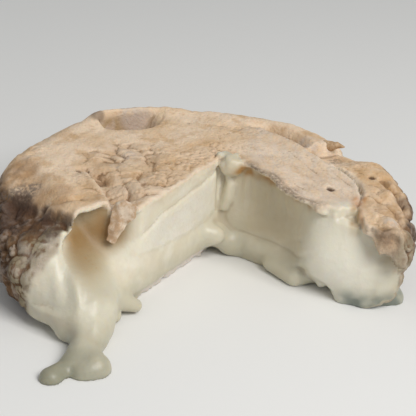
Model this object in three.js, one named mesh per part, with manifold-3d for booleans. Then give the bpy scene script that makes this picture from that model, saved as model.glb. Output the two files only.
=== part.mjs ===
// A ripe soft cheese wheel with one wedge taken out, standing on its flat underside.
// The wheel is worked out as a field of signed distances in millimetres, below zero inside the
// cheese, and the field's zero surface is meshed. Plan coordinates start at the wheel's axis:
// +X to the right of the opening, -Y towards the opening, +Z up from the table.

import * as THREE from "three";
import { MarchingCubes } from "three/addons/objects/MarchingCubes.js";
import { ImprovedNoise } from "three/addons/math/ImprovedNoise.js";
import { mergeVertices } from "three/addons/utils/BufferGeometryUtils.js";
import Module from "manifold-3d";

// ---------------------------------------------------------------- driving dimensions (mm, degrees)

const WHEEL = {
  height: 29.6,
  belly: 56, // largest radius of the bulging side wall
  bellyLevel: 16,
  barrel: 2.2, // how much the wall draws in from the belly to the top and the foot
  footLevel: 5,
  shoulder: 7, // blend between the wall and the top
};

// How far the wall stands out from an even round, as [heading, distance] pairs.
const WALL_SWELL = [
  [-180, 1.3], [-150, 0.6], [-128, -0.4], [-60, 0], [-28, 0.6], [-5, 1.5], [12, 2.6],
  [27, 3.2], [40, 0.6], [60, -0.5], [92, -0.3], [112, 0.7], [135, 0.5], [155, 0.5], [180, 1.3],
];
// How far the wall is drawn in at the table, as [heading, distance] pairs.
const FOOT_ROUNDING = [
  [-155, 3.2], [-138, 11], [-122, 9], [-90, 4], [-25, 6.5], [0, 5], [20, 3.2],
];
// Height of the rim above the middle of the wheel, as [heading, height] pairs.
const RIM_RISE = [
  [34, 0], [43, 0.4], [60, 0.7], [88, 0.3], [108, 1.7], [131, 3], [137, 1], [150, -0.2],
];
const RIM = { radius: 50.5, width: 3.4 };
const POCKET = { radius: 44.4, halfWidth: 4.0, depth: 7.5, from: 106, to: 132, fade: 5, edge: 2.2 };
const GROOVE = { radius: 40, width: 3.6, depth: 3.4, from: 43, to: 70, fade: 8 };
const STEP = { from: -60, to: 42, fade: 1.5, radius: 43, innerFade: 2 };
// Drop of the far right piece below the rest of the top, as [heading, drop] pairs.
const STEP_DROP = [[-40, 4.6], [-15, 3.6], [8, 0.8], [24, 1.3], [37, 4.6]];
// The rind right of the opening sags like a tongue, the further to the right and to the front.
const TONGUE = { leftX: 10, rightX: 42, backY: 42, frontY: 10, sag: 3.2 };
const SLUMP = { inner: 38, outer: 55, drop: 8.5, from: -172, to: -118, fade: 14 };
const COBBLES = { x: -20, y: 2, radius: 19, pitchX: 6.2, pitchY: 7.2, turn: 24, depth: 0.55 };

// Furrows in the top, each a path of [x, y] points: beside the front left flap of rind, in the
// fold behind it, and on the far right piece.
const FURROWS = [
  { path: [[-34, 1.5], [-28.5, -7.5], [-25, -14], [-25, -21]], width: 2.6, depth: 1.5 },
  { path: [[-43, -15], [-36.5, -17.5], [-32, -16.5]], width: 2.2, depth: 0.8 },
  { path: [[47.5, 3], [50.5, -5], [54.5, -12]], width: 1.9, depth: 1.3 },
];

const VERTEX = { x: 4.7, y: 16.4 }; // where the two cut faces meet
const LEFT_CUT = -120.5; // heading of each cut face, outwards from the vertex
const RIGHT_CUT = -38;
const CUT_BLEND = 3; // blend of one cut face into the other
const CUT_EDGE = 2.6; // rounding of the edges that the cuts leave
// Depth below the top at which each rind's edge gives way to the paste, as [along, depth] pairs.
const LEFT_LIP = [[0, 2.6], [56, 2.8], [62, 9], [68, 14]];
const RIGHT_LIP = [[0, 2.6], [36, 3.2], [50, 3.4], [54, 7], [58, 11]];
const LIP_FADE = 1.2;

// Recess of each edge behind its cut plane, as [distance from the vertex, recess] pairs.
const LEFT_RIND = [
  [0, -0.3], [10, 0.8], [22, 0.3], [34, -0.6], [41.5, 0.2], [45.5, 8.2], [54, 11], [60, 10], [70, 13],
];
const LEFT_PASTE = [[0, 0.2], [20, 0.2], [38, 0.1], [50, 0.6], [58, 0.2], [64, 2], [70, 6]];
const RIGHT_RIND = [
  [0, 0.4], [8, 0.8], [15, -0.5], [23, -3.1], [29, -4.4], [34, -3.0], [38.5, 0.4], [42, 6],
  [44.5, 3], [48, -0.8], [53, -0.4], [57, 2], [62, 6],
];
const RIGHT_PASTE = [
  [0, 0.3], [10, 1.4], [18, 2.0], [25, 1.5], [30, -0.8], [36, 0.2], [42, 0.8], [48, 2.2], [52, 5],
  [56, 9], [62, 14],
];

const LEFT_HOLLOW = { start: 43, full: 49, low: 15, high: 26, depth: 11.5 };
const LEFT_FOOT = { level: 8, height: 5, bulge: 0.9, undercut: 2.2 };
const RIGHT_HOLLOW = { along: 17, level: 17, length: 9, height: 7, depth: 1.8 };
const RIGHT_FOOT = { level: 4.5, height: 3.5, bulge: 1.6, end: 27, fade: 3 };
const UNDERCUT = { from: 27, to: 39, fade: 3, top: 7, depth: 5 };
const RIGHT_SHADE = { from: 47, to: 58, fade: 3, level: 19, height: 5, depth: 2.5 };
const SCALLOPS = { pitch: 3.1, depth: 0.6, top: 3.5 };
const CORNER = { heading: -95, reach: 40.2, topReach: 32.5, low: 13, high: 27, blend: 6 };

// The tear between the sagging tongue of rind and the far right piece: [x, y] along its middle.
const TEAR = [[38.8, 31], [41.5, 20], [43.2, 8], [42.6, -2], [41.0, -14]];
const TEAR_SIZE = { top: 1.7, bottom: 0.6, floor: 21, blend: 1.0 };

const LUMPS = [
  { at: [6.3, 14.3, 28.4], size: [2.5, 2.5, 3.1], blend: 0.8 }, // button of paste at the vertex
  { at: [1.6, 9.6, 8.6], size: [4.6, 3.2, 3.6], blend: 1.2 }, // lobes low on the left face
  { at: [4.6, 14.2, 6.6], size: [3.4, 3.0, 3.6], blend: 1.0 },
  { at: [8.2, 14.0, 3.6], size: [3.6, 3.0, 3.4], blend: 1.5 }, // low on the right face
  { at: [36.5, -5.4, 14.0], size: [8.0, 5.4, 9.0], blend: 5.5 }, // slumped lobe of the right face
  { at: [35.6, 30.4, 29.0], size: [3.2, 2.0, 1.7], blend: 1.5 }, // curled end of the rim
];

// Runny paste: tapered strands, each from one [x, y, z, radius] to the next.
const STRANDS = [
  { path: [[-30.5, -31, 9, 7.6], [-27.2, -34.5, 6.4, 7.2], [-26.3, -40, 3.4, 4.3]], blend: 6 },
  { path: [[-26.4, -38, 3.4, 4.6], [-27.0, -46.5, 1.6, 3.7]], blend: 3 },
  { path: [[-27.0, -46.5, 1.4, 3.6], [-24.0, -51.4, 0.4, 4.3]], blend: 2.5 },
  { path: [[-27.6, -48.0, 1.2, 3.3], [-31.2, -53.0, 0.6, 2.4], [-33.8, -56.6, 0.2, 2.9]], blend: 1.5 },
  { path: [[-28.2, -50.0, 0.6, 3.2], [-26.6, -53.6, 0.2, 3.0]], blend: 2 },
  { path: [[-21.4, -25.0, 5.0, 3.4], [-16.2, -24.5, 1.9, 2.0]], blend: 1.6 },
  { path: [[-24.0, -28.0, 5.0, 4.0], [-21.4, -28.4, 2.2, 1.9]], blend: 1.4 },
  { path: [[-24.6, -34.0, 6.0, 4.4], [-23.6, -36.4, 2.6, 2.8]], blend: 2 },
  { path: [[-30.0, -33.0, 6.0, 5.0], [-31.4, -37.0, 3.0, 4.0]], blend: 3 },
  { path: [[42.4, -6.4, 1.6, 3.0], [48.0, -8.0, 0.8, 2.8], [53.0, -6.4, 0.8, 3.3]], blend: 2.5 },
  { path: [[40.6, -6.6, 1.2, 2.6], [39.4, -8.4, 0.4, 1.7]], blend: 1.5 },
  { path: [[33.0, -2.0, 5.0, 3.0], [33.6, -3.6, 2.4, 1.3]], blend: 1.5 },
  { path: [[20.0, 5.6, 2.6, 2.4], [26.4, -0.8, 2.2, 2.8], [33.0, 1.0, 2.2, 1.8]], blend: 2 },
];

// Unevenness: how far each kind reaches, and the size of its swells.
const ROUGHNESS = { wall: 0.55, wallPitch: 6.5, swell: 0.7, swellPitch: 23, top: 0.25, topPitch: 9 };

const NOISE_START = { x: 7.3, y: 3.1, z: 5.7 }; // keeps the noise's fixed noughts off the axis

// The lattice that the field is meshed on: how far it reaches below the table and above the
// wheel, its empty layers, and the least value near the surface that gives sound triangles.
const LATTICE = {
  resolution: 64,
  cell: 2.14,
  below: 4,
  above: 4,
  emptyLayers: 2,
  leastValue: 0.03,
  weld: 1e-6,
  mostTriangles: 30000,
};

const SETTLE = { rounds: 5, share: 0.5, probe: 0.05, leastSlope: 0.3, furthest: 0.6 };

const RIPE_RIND = { color: 0xcdaa86, roughness: 0.85, metalness: 0 };

// ---------------------------------------------------------------- helpers

const radians = THREE.MathUtils.degToRad;
const rise = THREE.MathUtils.smoothstep;
const noiseSource = new ImprovedNoise();

function blendMax(a, b, width) {
  const h = Math.max(width - Math.abs(a - b), 0) / width;
  return Math.max(a, b) + (h * h * width) / 4;
}

function blendMin(a, b, width) {
  return -blendMax(-a, -b, width);
}

function bell(offset) {
  return Math.exp(-offset * offset);
}

// One inside from..to, fading to nought over the fade on either side.
function span(value, from, to, fade) {
  return rise(value, from - fade, from + fade) * (1 - rise(value, to - fade, to + fade));
}

// The same for a heading in degrees, whichever turn it is given in.
function sector(heading, from, to, fade) {
  const middle = (from + to) / 2;
  const turned = heading - 360 * Math.round((heading - middle) / 360);
  return span(turned, from, to, fade);
}

// Smooth run through [along, value] pairs, level before the first and after the last.
function run(pairs, along) {
  const k = pairs.findIndex((pair) => pair[0] > along);
  if (k === 0) return pairs[0][1];
  if (k < 0) return pairs[pairs.length - 1][1];
  const [from, low] = pairs[k - 1];
  const [to, high] = pairs[k];
  return low + (high - low) * rise(along, from, to);
}

function noise(x, y, z, pitch) {
  const { x: startX, y: startY, z: startZ } = NOISE_START;
  return noiseSource.noise(x / pitch + startX, y / pitch + startY, z / pitch + startZ);
}

// Distance in plan from a path of [x, y] points.
function offPath(x, y, path) {
  let nearest = Infinity;
  for (let k = 1; k < path.length; k++) {
    const [ax, ay] = path[k - 1];
    const [bx, by] = path[k];
    const length = (bx - ax) ** 2 + (by - ay) ** 2;
    const t = THREE.MathUtils.clamp(((x - ax) * (bx - ax) + (y - ay) * (by - ay)) / length, 0, 1);
    nearest = Math.min(nearest, Math.hypot(x - ax - t * (bx - ax), y - ay - t * (by - ay)));
  }
  return nearest;
}

// ---------------------------------------------------------------- the whole wheel

function wallRadius(z, heading) {
  const drawnIn = WHEEL.barrel * ((z - WHEEL.bellyLevel) / (WHEEL.height - WHEEL.bellyLevel)) ** 2;
  const foot = Math.max(0, 1 - Math.max(z, 0) / WHEEL.footLevel);
  const swell = run(WALL_SWELL, heading) * rise(z, 0, WHEEL.bellyLevel);
  return WHEEL.belly + swell - drawnIn - run(FOOT_ROUNDING, heading) * foot * foot;
}

// Hollows pressed by the draining mat: rounded cobbles between two sets of shallow lines.
function cobbleDepth(x, y) {
  const turn = radians(COBBLES.turn);
  const u = x * Math.cos(turn) + y * Math.sin(turn);
  const v = y * Math.cos(turn) - x * Math.sin(turn);
  const lineU = Math.abs(Math.cos((Math.PI * u) / COBBLES.pitchX));
  const lineV = Math.abs(Math.cos((Math.PI * v) / COBBLES.pitchY));
  const inPatch = bell(Math.hypot(x - COBBLES.x, y - COBBLES.y) / COBBLES.radius);
  return COBBLES.depth * inPatch * (1 - Math.sqrt(lineU * lineV));
}

function headingOf(x, y) {
  return THREE.MathUtils.radToDeg(Math.atan2(y, x));
}

function topHeight(x, y) {
  const r = Math.hypot(x, y);
  const heading = headingOf(x, y);
  let z = WHEEL.height + run(RIM_RISE, heading) * bell((r - RIM.radius) / RIM.width);
  const pocket = span(
    r,
    POCKET.radius - POCKET.halfWidth,
    POCKET.radius + POCKET.halfWidth,
    POCKET.edge,
  );
  z -= POCKET.depth * pocket * sector(heading, POCKET.from, POCKET.to, POCKET.fade);
  const groove = bell((r - GROOVE.radius) / GROOVE.width);
  z -= GROOVE.depth * groove * sector(heading, GROOVE.from, GROOVE.to, GROOVE.fade);
  const outer = rise(r, STEP.radius - STEP.innerFade, STEP.radius + STEP.innerFade);
  const beyondStep = sector(heading, STEP.from, STEP.to, STEP.fade);
  const toFront = 1 - rise(y, TONGUE.frontY, TONGUE.backY);
  const sag = TONGUE.sag * rise(x, TONGUE.leftX, TONGUE.rightX) * toFront;
  z -= Math.max(sag, run(STEP_DROP, heading) * outer * beyondStep);
  const slump = rise(r, SLUMP.inner, SLUMP.outer);
  z -= SLUMP.drop * slump * sector(heading, SLUMP.from, SLUMP.to, SLUMP.fade);
  for (const { path, width, depth } of FURROWS) z -= depth * bell(offPath(x, y, path) / width);
  z -= cobbleDepth(x, y);
  return z + ROUGHNESS.top * noise(x, y, 0, ROUGHNESS.topPitch);
}

function wholeWheel(x, y, z, top) {
  const swell = ROUGHNESS.swell * noise(x, y, z, ROUGHNESS.swellPitch);
  const knobs = ROUGHNESS.wall * noise(x, y, z, ROUGHNESS.wallPitch);
  const side = Math.hypot(x, y) - wallRadius(z, headingOf(x, y)) - swell - knobs;
  return blendMax(side, z - top, WHEEL.shoulder);
}

// ---------------------------------------------------------------- the opening

// Position against a cut plane: along it from the vertex, and behind it into the cheese.
function alongCut(x, y, heading, side) {
  const c = Math.cos(radians(heading));
  const s = Math.sin(radians(heading));
  const dx = x - VERTEX.x;
  const dy = y - VERTEX.y;
  return { along: dx * c + dy * s, behind: side * (dy * c - dx * s) };
}

function leftPaste(along, z) {
  const hollow =
    LEFT_HOLLOW.depth *
    rise(along, LEFT_HOLLOW.start, LEFT_HOLLOW.full) *
    rise(z, LEFT_HOLLOW.low, LEFT_HOLLOW.high);
  const bulge = LEFT_FOOT.bulge * bell((z - LEFT_FOOT.level) / LEFT_FOOT.height);
  const undercut = LEFT_FOOT.undercut * (1 - rise(z, 0, LEFT_FOOT.height));
  const scallop = SCALLOPS.depth * Math.sin((2 * Math.PI * along) / SCALLOPS.pitch);
  return run(LEFT_PASTE, along) + hollow - bulge + undercut + scallop * (1 - rise(z, 0, SCALLOPS.top));
}

function rightPaste(along, z) {
  const hollow =
    RIGHT_HOLLOW.depth *
    bell((along - RIGHT_HOLLOW.along) / RIGHT_HOLLOW.length) *
    bell((z - RIGHT_HOLLOW.level) / RIGHT_HOLLOW.height);
  const bulge =
    RIGHT_FOOT.bulge *
    bell((z - RIGHT_FOOT.level) / RIGHT_FOOT.height) *
    (1 - rise(along, RIGHT_FOOT.end - RIGHT_FOOT.fade, RIGHT_FOOT.end + RIGHT_FOOT.fade));
  const undercut =
    UNDERCUT.depth *
    span(along, UNDERCUT.from, UNDERCUT.to, UNDERCUT.fade) *
    (1 - rise(z, 0, UNDERCUT.top));
  const shade =
    RIGHT_SHADE.depth *
    span(along, RIGHT_SHADE.from, RIGHT_SHADE.to, RIGHT_SHADE.fade) *
    bell((z - RIGHT_SHADE.level) / RIGHT_SHADE.height);
  return run(RIGHT_PASTE, along) + hollow - bulge + undercut + shade;
}

// Recess of a cut face where its rind's edge lies over the paste like a lip.
function lipped(rind, lip, along, depth, paste) {
  const thickness = run(lip, along);
  const below = rise(depth, thickness - LIP_FADE, thickness + LIP_FADE);
  return THREE.MathUtils.lerp(run(rind, along), paste, below);
}

// Above nought in the missing wedge, below nought in the cheese on either side of it.
function opening(x, y, z, top) {
  const left = alongCut(x, y, LEFT_CUT, -1);
  const right = alongCut(x, y, RIGHT_CUT, 1);
  const leftEdge = lipped(LEFT_RIND, LEFT_LIP, left.along, top - z, leftPaste(left.along, z));
  const rightEdge = lipped(RIGHT_RIND, RIGHT_LIP, right.along, top - z, rightPaste(right.along, z));
  return blendMin(leftEdge - left.behind, rightEdge - right.behind, CUT_BLEND);
}

// The slumped corner where the left cut face meets the wall.
function slumpedCorner(x, y, z) {
  const c = Math.cos(radians(CORNER.heading));
  const s = Math.sin(radians(CORNER.heading));
  const reach = THREE.MathUtils.lerp(CORNER.reach, CORNER.topReach, rise(z, CORNER.low, CORNER.high));
  return x * c + y * s - reach;
}

function tear(x, y, z, top) {
  const height = rise(z, TEAR_SIZE.floor, top);
  const halfWidth = THREE.MathUtils.lerp(TEAR_SIZE.bottom, TEAR_SIZE.top, height);
  return blendMax(offPath(x, y, TEAR) - halfWidth, TEAR_SIZE.floor - z, TEAR_SIZE.blend);
}

// ---------------------------------------------------------------- lumps and runny paste

function lump(x, y, z, { at, size }) {
  const reach = Math.hypot((x - at[0]) / size[0], (y - at[1]) / size[1], (z - at[2]) / size[2]);
  return (reach - 1) * Math.min(...size);
}

function strand(x, y, z, path) {
  let nearest = Infinity;
  for (let k = 1; k < path.length; k++) {
    const [ax, ay, az, ar] = path[k - 1];
    const [bx, by, bz, br] = path[k];
    const length = (bx - ax) ** 2 + (by - ay) ** 2 + (bz - az) ** 2;
    const dot = (x - ax) * (bx - ax) + (y - ay) * (by - ay) + (z - az) * (bz - az);
    const t = THREE.MathUtils.clamp(dot / length, 0, 1);
    const gap = Math.hypot(x - ax - t * (bx - ax), y - ay - t * (by - ay), z - az - t * (bz - az));
    nearest = Math.min(nearest, gap - ar - t * (br - ar));
  }
  return nearest;
}

function cheese(x, y, z) {
  const top = topHeight(x, y);
  let field = wholeWheel(x, y, z, top);
  field = blendMax(field, slumpedCorner(x, y, z), CORNER.blend);
  field = blendMax(field, opening(x, y, z, top), CUT_EDGE);
  field = blendMax(field, -tear(x, y, z, top), TEAR_SIZE.blend);
  for (const item of LUMPS) field = blendMin(field, lump(x, y, z, item), item.blend);
  for (const item of STRANDS) field = blendMin(field, strand(x, y, z, item.path), item.blend);
  return Math.max(field, -LATTICE.below - z);
}

// ---------------------------------------------------------------- meshing

// Meshes the zero surface of the field on a cubic lattice and welds the loose triangles.
function meshField(field) {
  const { resolution: size, cell, leastValue, mostTriangles } = LATTICE;
  const half = size / 2;
  const filler = new THREE.MeshStandardMaterial();
  const lattice = new MarchingCubes(size, filler, false, false, mostTriangles);
  lattice.isolation = 0;
  const floorIndex = Math.ceil(LATTICE.below / cell) + LATTICE.emptyLayers;
  const place = (index, base) => (index - base) * cell;
  lattice.field.fill(-cell);
  const layers = Math.ceil((WHEEL.height + LATTICE.above) / cell) + floorIndex;
  for (let k = 0; k < layers; k++) {
    for (let j = 0; j < size; j++) {
      for (let i = 0; i < size; i++) {
        const depth = -field(place(i, half), place(j, half), place(k, floorIndex));
        const sound = Math.sign(depth || 1) * Math.max(Math.abs(depth), leastValue);
        lattice.field[i + j * size + k * size * size] = sound;
      }
    }
  }
  lattice.update();
  const loose = new THREE.BufferGeometry();
  const corners = lattice.positionArray.slice(0, lattice.count * 3);
  loose.setAttribute("position", new THREE.BufferAttribute(corners, 3));
  const welded = mergeVertices(loose, LATTICE.weld);
  welded.scale(half * cell, half * cell, half * cell);
  welded.translate(0, 0, place(half, floorIndex));
  return welded;
}

// Evens out the triangles: each corner moves towards the mean of its neighbours, and from there
// straight back to the field's zero surface.
function settle(geometry, field) {
  const position = geometry.attributes.position;
  const index = geometry.index.array;
  const neighbours = Array.from({ length: position.count }, () => new Set());
  for (let k = 0; k < index.length; k++) {
    const next = k % 3 === 2 ? k - 2 : k + 1;
    neighbours[index[k]].add(index[next]);
    neighbours[index[next]].add(index[k]);
  }
  const point = new THREE.Vector3();
  const mean = new THREE.Vector3();
  const slope = new THREE.Vector3();
  for (let round = 0; round < SETTLE.rounds; round++) {
    const before = position.clone();
    for (let k = 0; k < position.count; k++) {
      mean.set(0, 0, 0);
      for (const other of neighbours[k]) mean.add(point.fromBufferAttribute(before, other));
      mean.divideScalar(neighbours[k].size);
      point.fromBufferAttribute(before, k).lerp(mean, SETTLE.share);
      const { x, y, z } = point;
      const value = field(x, y, z);
      slope.set(
        field(x + SETTLE.probe, y, z) - value,
        field(x, y + SETTLE.probe, z) - value,
        field(x, y, z + SETTLE.probe) - value,
      );
      slope.divideScalar(SETTLE.probe);
      const step = slope.multiplyScalar(-value / Math.max(slope.lengthSq(), SETTLE.leastSlope));
      point.add(step.clampLength(0, SETTLE.furthest));
      position.setXYZ(k, point.x, point.y, point.z);
    }
  }
  return geometry;
}

function withoutSlivers(geometry) {
  const index = geometry.index.array;
  const kept = [];
  for (let k = 0; k < index.length; k += 3) {
    const [a, b, c] = [index[k], index[k + 1], index[k + 2]];
    if (a !== b && b !== c && c !== a) kept.push(a, b, c);
  }
  geometry.setIndex(kept);
  return geometry;
}

const wasm = await Module();
wasm.setup();

function toSolid(geometry) {
  const vertProperties = new Float32Array(geometry.attributes.position.array);
  const triVerts = new Uint32Array(geometry.index.array);
  return new wasm.Manifold(new wasm.Mesh({ numProp: 3, vertProperties, triVerts }));
}

function toGeometry(solid) {
  const mesh = solid.getMesh();
  const geometry = new THREE.BufferGeometry();
  geometry.setAttribute("position", new THREE.BufferAttribute(mesh.vertProperties, 3));
  geometry.setIndex(new THREE.BufferAttribute(mesh.triVerts, 1));
  return geometry;
}

// Takes away all that lies below the table, which leaves one flat underside.
function standOnTable(geometry) {
  const size = 4 * WHEEL.belly;
  const under = new THREE.BoxGeometry(size, size, size);
  under.translate(0, 0, -size / 2);
  under.deleteAttribute("normal");
  under.deleteAttribute("uv");
  return toGeometry(toSolid(geometry).subtract(toSolid(mergeVertices(under))));
}

// Moves the middle of the object's footprint box to the origin.
function centre(geometry) {
  geometry.computeBoundingBox();
  const middle = geometry.boundingBox.getCenter(new THREE.Vector3());
  geometry.translate(-middle.x, -middle.y, -geometry.boundingBox.min.z);
  return geometry;
}

const body = centre(standOnTable(settle(withoutSlivers(meshField(cheese)), cheese)));
body.computeVertexNormals();

const wheel = new THREE.Mesh(body, new THREE.MeshStandardMaterial(RIPE_RIND));
wheel.name = "cheese_wheel";

const object = new THREE.Group();
object.add(wheel);

export default object;
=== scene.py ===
"""The looks of a ripe soft cheese wheel with a wedge cut out of it.

The wheel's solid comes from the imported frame. Its skin is remeshed finely and carved once more from the
same named forms, now with the mat's print, wrinkles, mould knobs, creases and drips, and is then painted
with masks that the rind's and the paste's finishes read. Forms are worked out in millimetres from the
wheel's own axis, and meshes are written in metres, in the frame.
"""

import logging
import math
from collections.abc import Callable, Iterator
from dataclasses import dataclass, field
from enum import Enum

import bmesh
import bpy
import numpy as np
from mathutils import Matrix, Vector


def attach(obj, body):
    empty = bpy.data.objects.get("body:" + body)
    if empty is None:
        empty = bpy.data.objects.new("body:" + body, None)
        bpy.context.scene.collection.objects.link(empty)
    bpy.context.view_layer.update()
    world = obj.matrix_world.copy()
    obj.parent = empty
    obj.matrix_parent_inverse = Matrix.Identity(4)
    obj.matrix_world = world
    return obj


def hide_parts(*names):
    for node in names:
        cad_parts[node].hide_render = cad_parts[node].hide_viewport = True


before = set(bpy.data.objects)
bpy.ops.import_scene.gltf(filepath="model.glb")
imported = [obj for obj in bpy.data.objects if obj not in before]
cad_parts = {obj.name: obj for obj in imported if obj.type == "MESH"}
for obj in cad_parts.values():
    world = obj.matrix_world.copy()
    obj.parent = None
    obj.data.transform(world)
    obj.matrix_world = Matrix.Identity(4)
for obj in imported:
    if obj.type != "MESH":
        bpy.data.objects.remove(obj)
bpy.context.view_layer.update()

MM = 0.001
WHEEL_AXIS = (-0.234, 1.948)  # the wheel's axis in the frame, in millimetres

Array = np.ndarray
Pairs = tuple[tuple[float, float], ...]
Point = tuple[float, float, float]
Knot = tuple[float, float, float, float]  # a place on a strand, and the strand's radius there
Reach = tuple[float, float]  # where a smooth step leaves nought, and where it reaches one
Stretch = tuple[float, float, float]  # where a stretch starts and ends, and how widely it fades
Color = tuple[float, float, float]
Pitch = float | tuple[float, float, float]
ENDLESS = 1000.0  # a pitch too long to be seen
log = logging.getLogger("cheese")

TEAR = (
    (36.2, 20.0), (39.0, 17.9), (41.1, 15.1), (42.6, 11.0), (42.9, 6.0), (42.4, 2.6), (41.1, -1.9),
    (40.5, -8.0), (40.0, -14.0),
)
TONGUE_EDGE = (
    (6.0, 42.5), (12.0, 41.2), (15.6, 39.4), (22.3, 34.4), (26.3, 30.0), (29.8, 25.6), (32.7, 22.5), *TEAR,
)


# ------------------------------------------------------------------------------------ numbers


def rise(value: Array, low: Array | float, high: Array | float) -> Array:
    """Smooth step from 0 at low to 1 at high."""
    share = np.clip((value - low) / (high - low), 0.0, 1.0)
    return share * share * (3.0 - 2.0 * share)


def bell(offset: Array) -> Array:
    """One at no offset, fading on both sides."""
    return np.exp(-offset * offset)


def span(value: Array, low: float, high: float, fade: float) -> Array:
    """One from low to high, fading to nought over the fade on either side."""
    return rise(value, low - fade, low + fade) * (1.0 - rise(value, high - fade, high + fade))


def sector(heading: Array, low: float, high: float, fade: float) -> Array:
    """The same for a heading in degrees, whichever turn it is given in."""
    nearby = heading - 360.0 * np.round((heading - (low + high) / 2.0) / 360.0)
    return span(nearby, low, high, fade)


def run(pairs: Pairs, place: Array) -> Array:
    """Smooth run through pairs, level before the first and after the last.

    Args:
        pairs: Places along the run, each with its value there.
        place: Where the values are wanted.

    Returns:
        The values.
    """
    places, values = np.array(pairs).T
    k = np.clip(np.searchsorted(places, place, side="right"), 1, len(places) - 1)
    return values[k - 1] + (values[k] - values[k - 1]) * rise(place, places[k - 1], places[k])


def blend_max(first: Array, second: Array, width: float) -> Array:
    """Larger of two fields, with their meeting rounded over the width."""
    near = np.maximum(width - np.abs(first - second), 0.0) / width
    return np.maximum(first, second) + near * near * width / 4.0


def blend_min(first: Array, second: Array, width: float) -> Array:
    """Smaller of two fields, with their meeting rounded over the width."""
    return -blend_max(-first, -second, width)


def off_path(x: Array, y: Array, path: Pairs) -> tuple[Array, Array]:
    """Distance in plan from a path of points.

    Args:
        x: Places across.
        y: Places along.
        path: The path's points.

    Returns:
        The distance, and the same with a sign: above nought to the right of the path.
    """
    nearest = np.full(x.shape, np.inf)
    signed = np.full(x.shape, np.inf)
    for (ax, ay), (bx, by) in zip(path, path[1:]):
        dx, dy = bx - ax, by - ay
        share = np.clip(((x - ax) * dx + (y - ay) * dy) / (dx * dx + dy * dy), 0.0, 1.0)
        gap = np.hypot(x - ax - share * dx, y - ay - share * dy)
        side = np.where((y - ay) * dx - (x - ax) * dy > 0.0, -1.0, 1.0)
        signed = np.where(gap < nearest, gap * side, signed)
        nearest = np.minimum(nearest, gap)
    return nearest, signed


def turned(x: Array, y: Array, heading: float) -> tuple[Array, Array]:
    """Places along a heading in degrees, and to the left of it."""
    c, s = math.cos(math.radians(heading)), math.sin(math.radians(heading))
    return x * c + y * s, y * c - x * s


def laid(x: Array, y: Array) -> Array:
    """Places laid flat as points, one a row."""
    return np.stack([x, y, np.zeros_like(x)], axis=1)


def lump(points: Array, centre: Point, size: Point) -> Array:
    """Field of one egg-shaped lump, below nought inside it."""
    return (np.linalg.norm((points - centre) / np.array(size), axis=1) - 1.0) * min(size)


def strand(points: Array, path: tuple[Knot, ...]) -> Array:
    """Field of one tapered strand, below nought inside it.

    Args:
        points: Points, one a row.
        path: Places along the strand, each with its radius there.

    Returns:
        The field at each point.
    """
    nearest = np.full(len(points), np.inf)
    for start, end in zip(path, path[1:]):
        first, last = np.array(start[:3], float), np.array(end[:3], float)
        step = last - first
        share = np.clip((points - first) @ step / (step @ step), 0.0, 1.0)
        gap = np.linalg.norm(points - first - share[:, None] * step, axis=1)
        nearest = np.minimum(nearest, gap - start[3] - share * (end[3] - start[3]))
    return nearest


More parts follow.
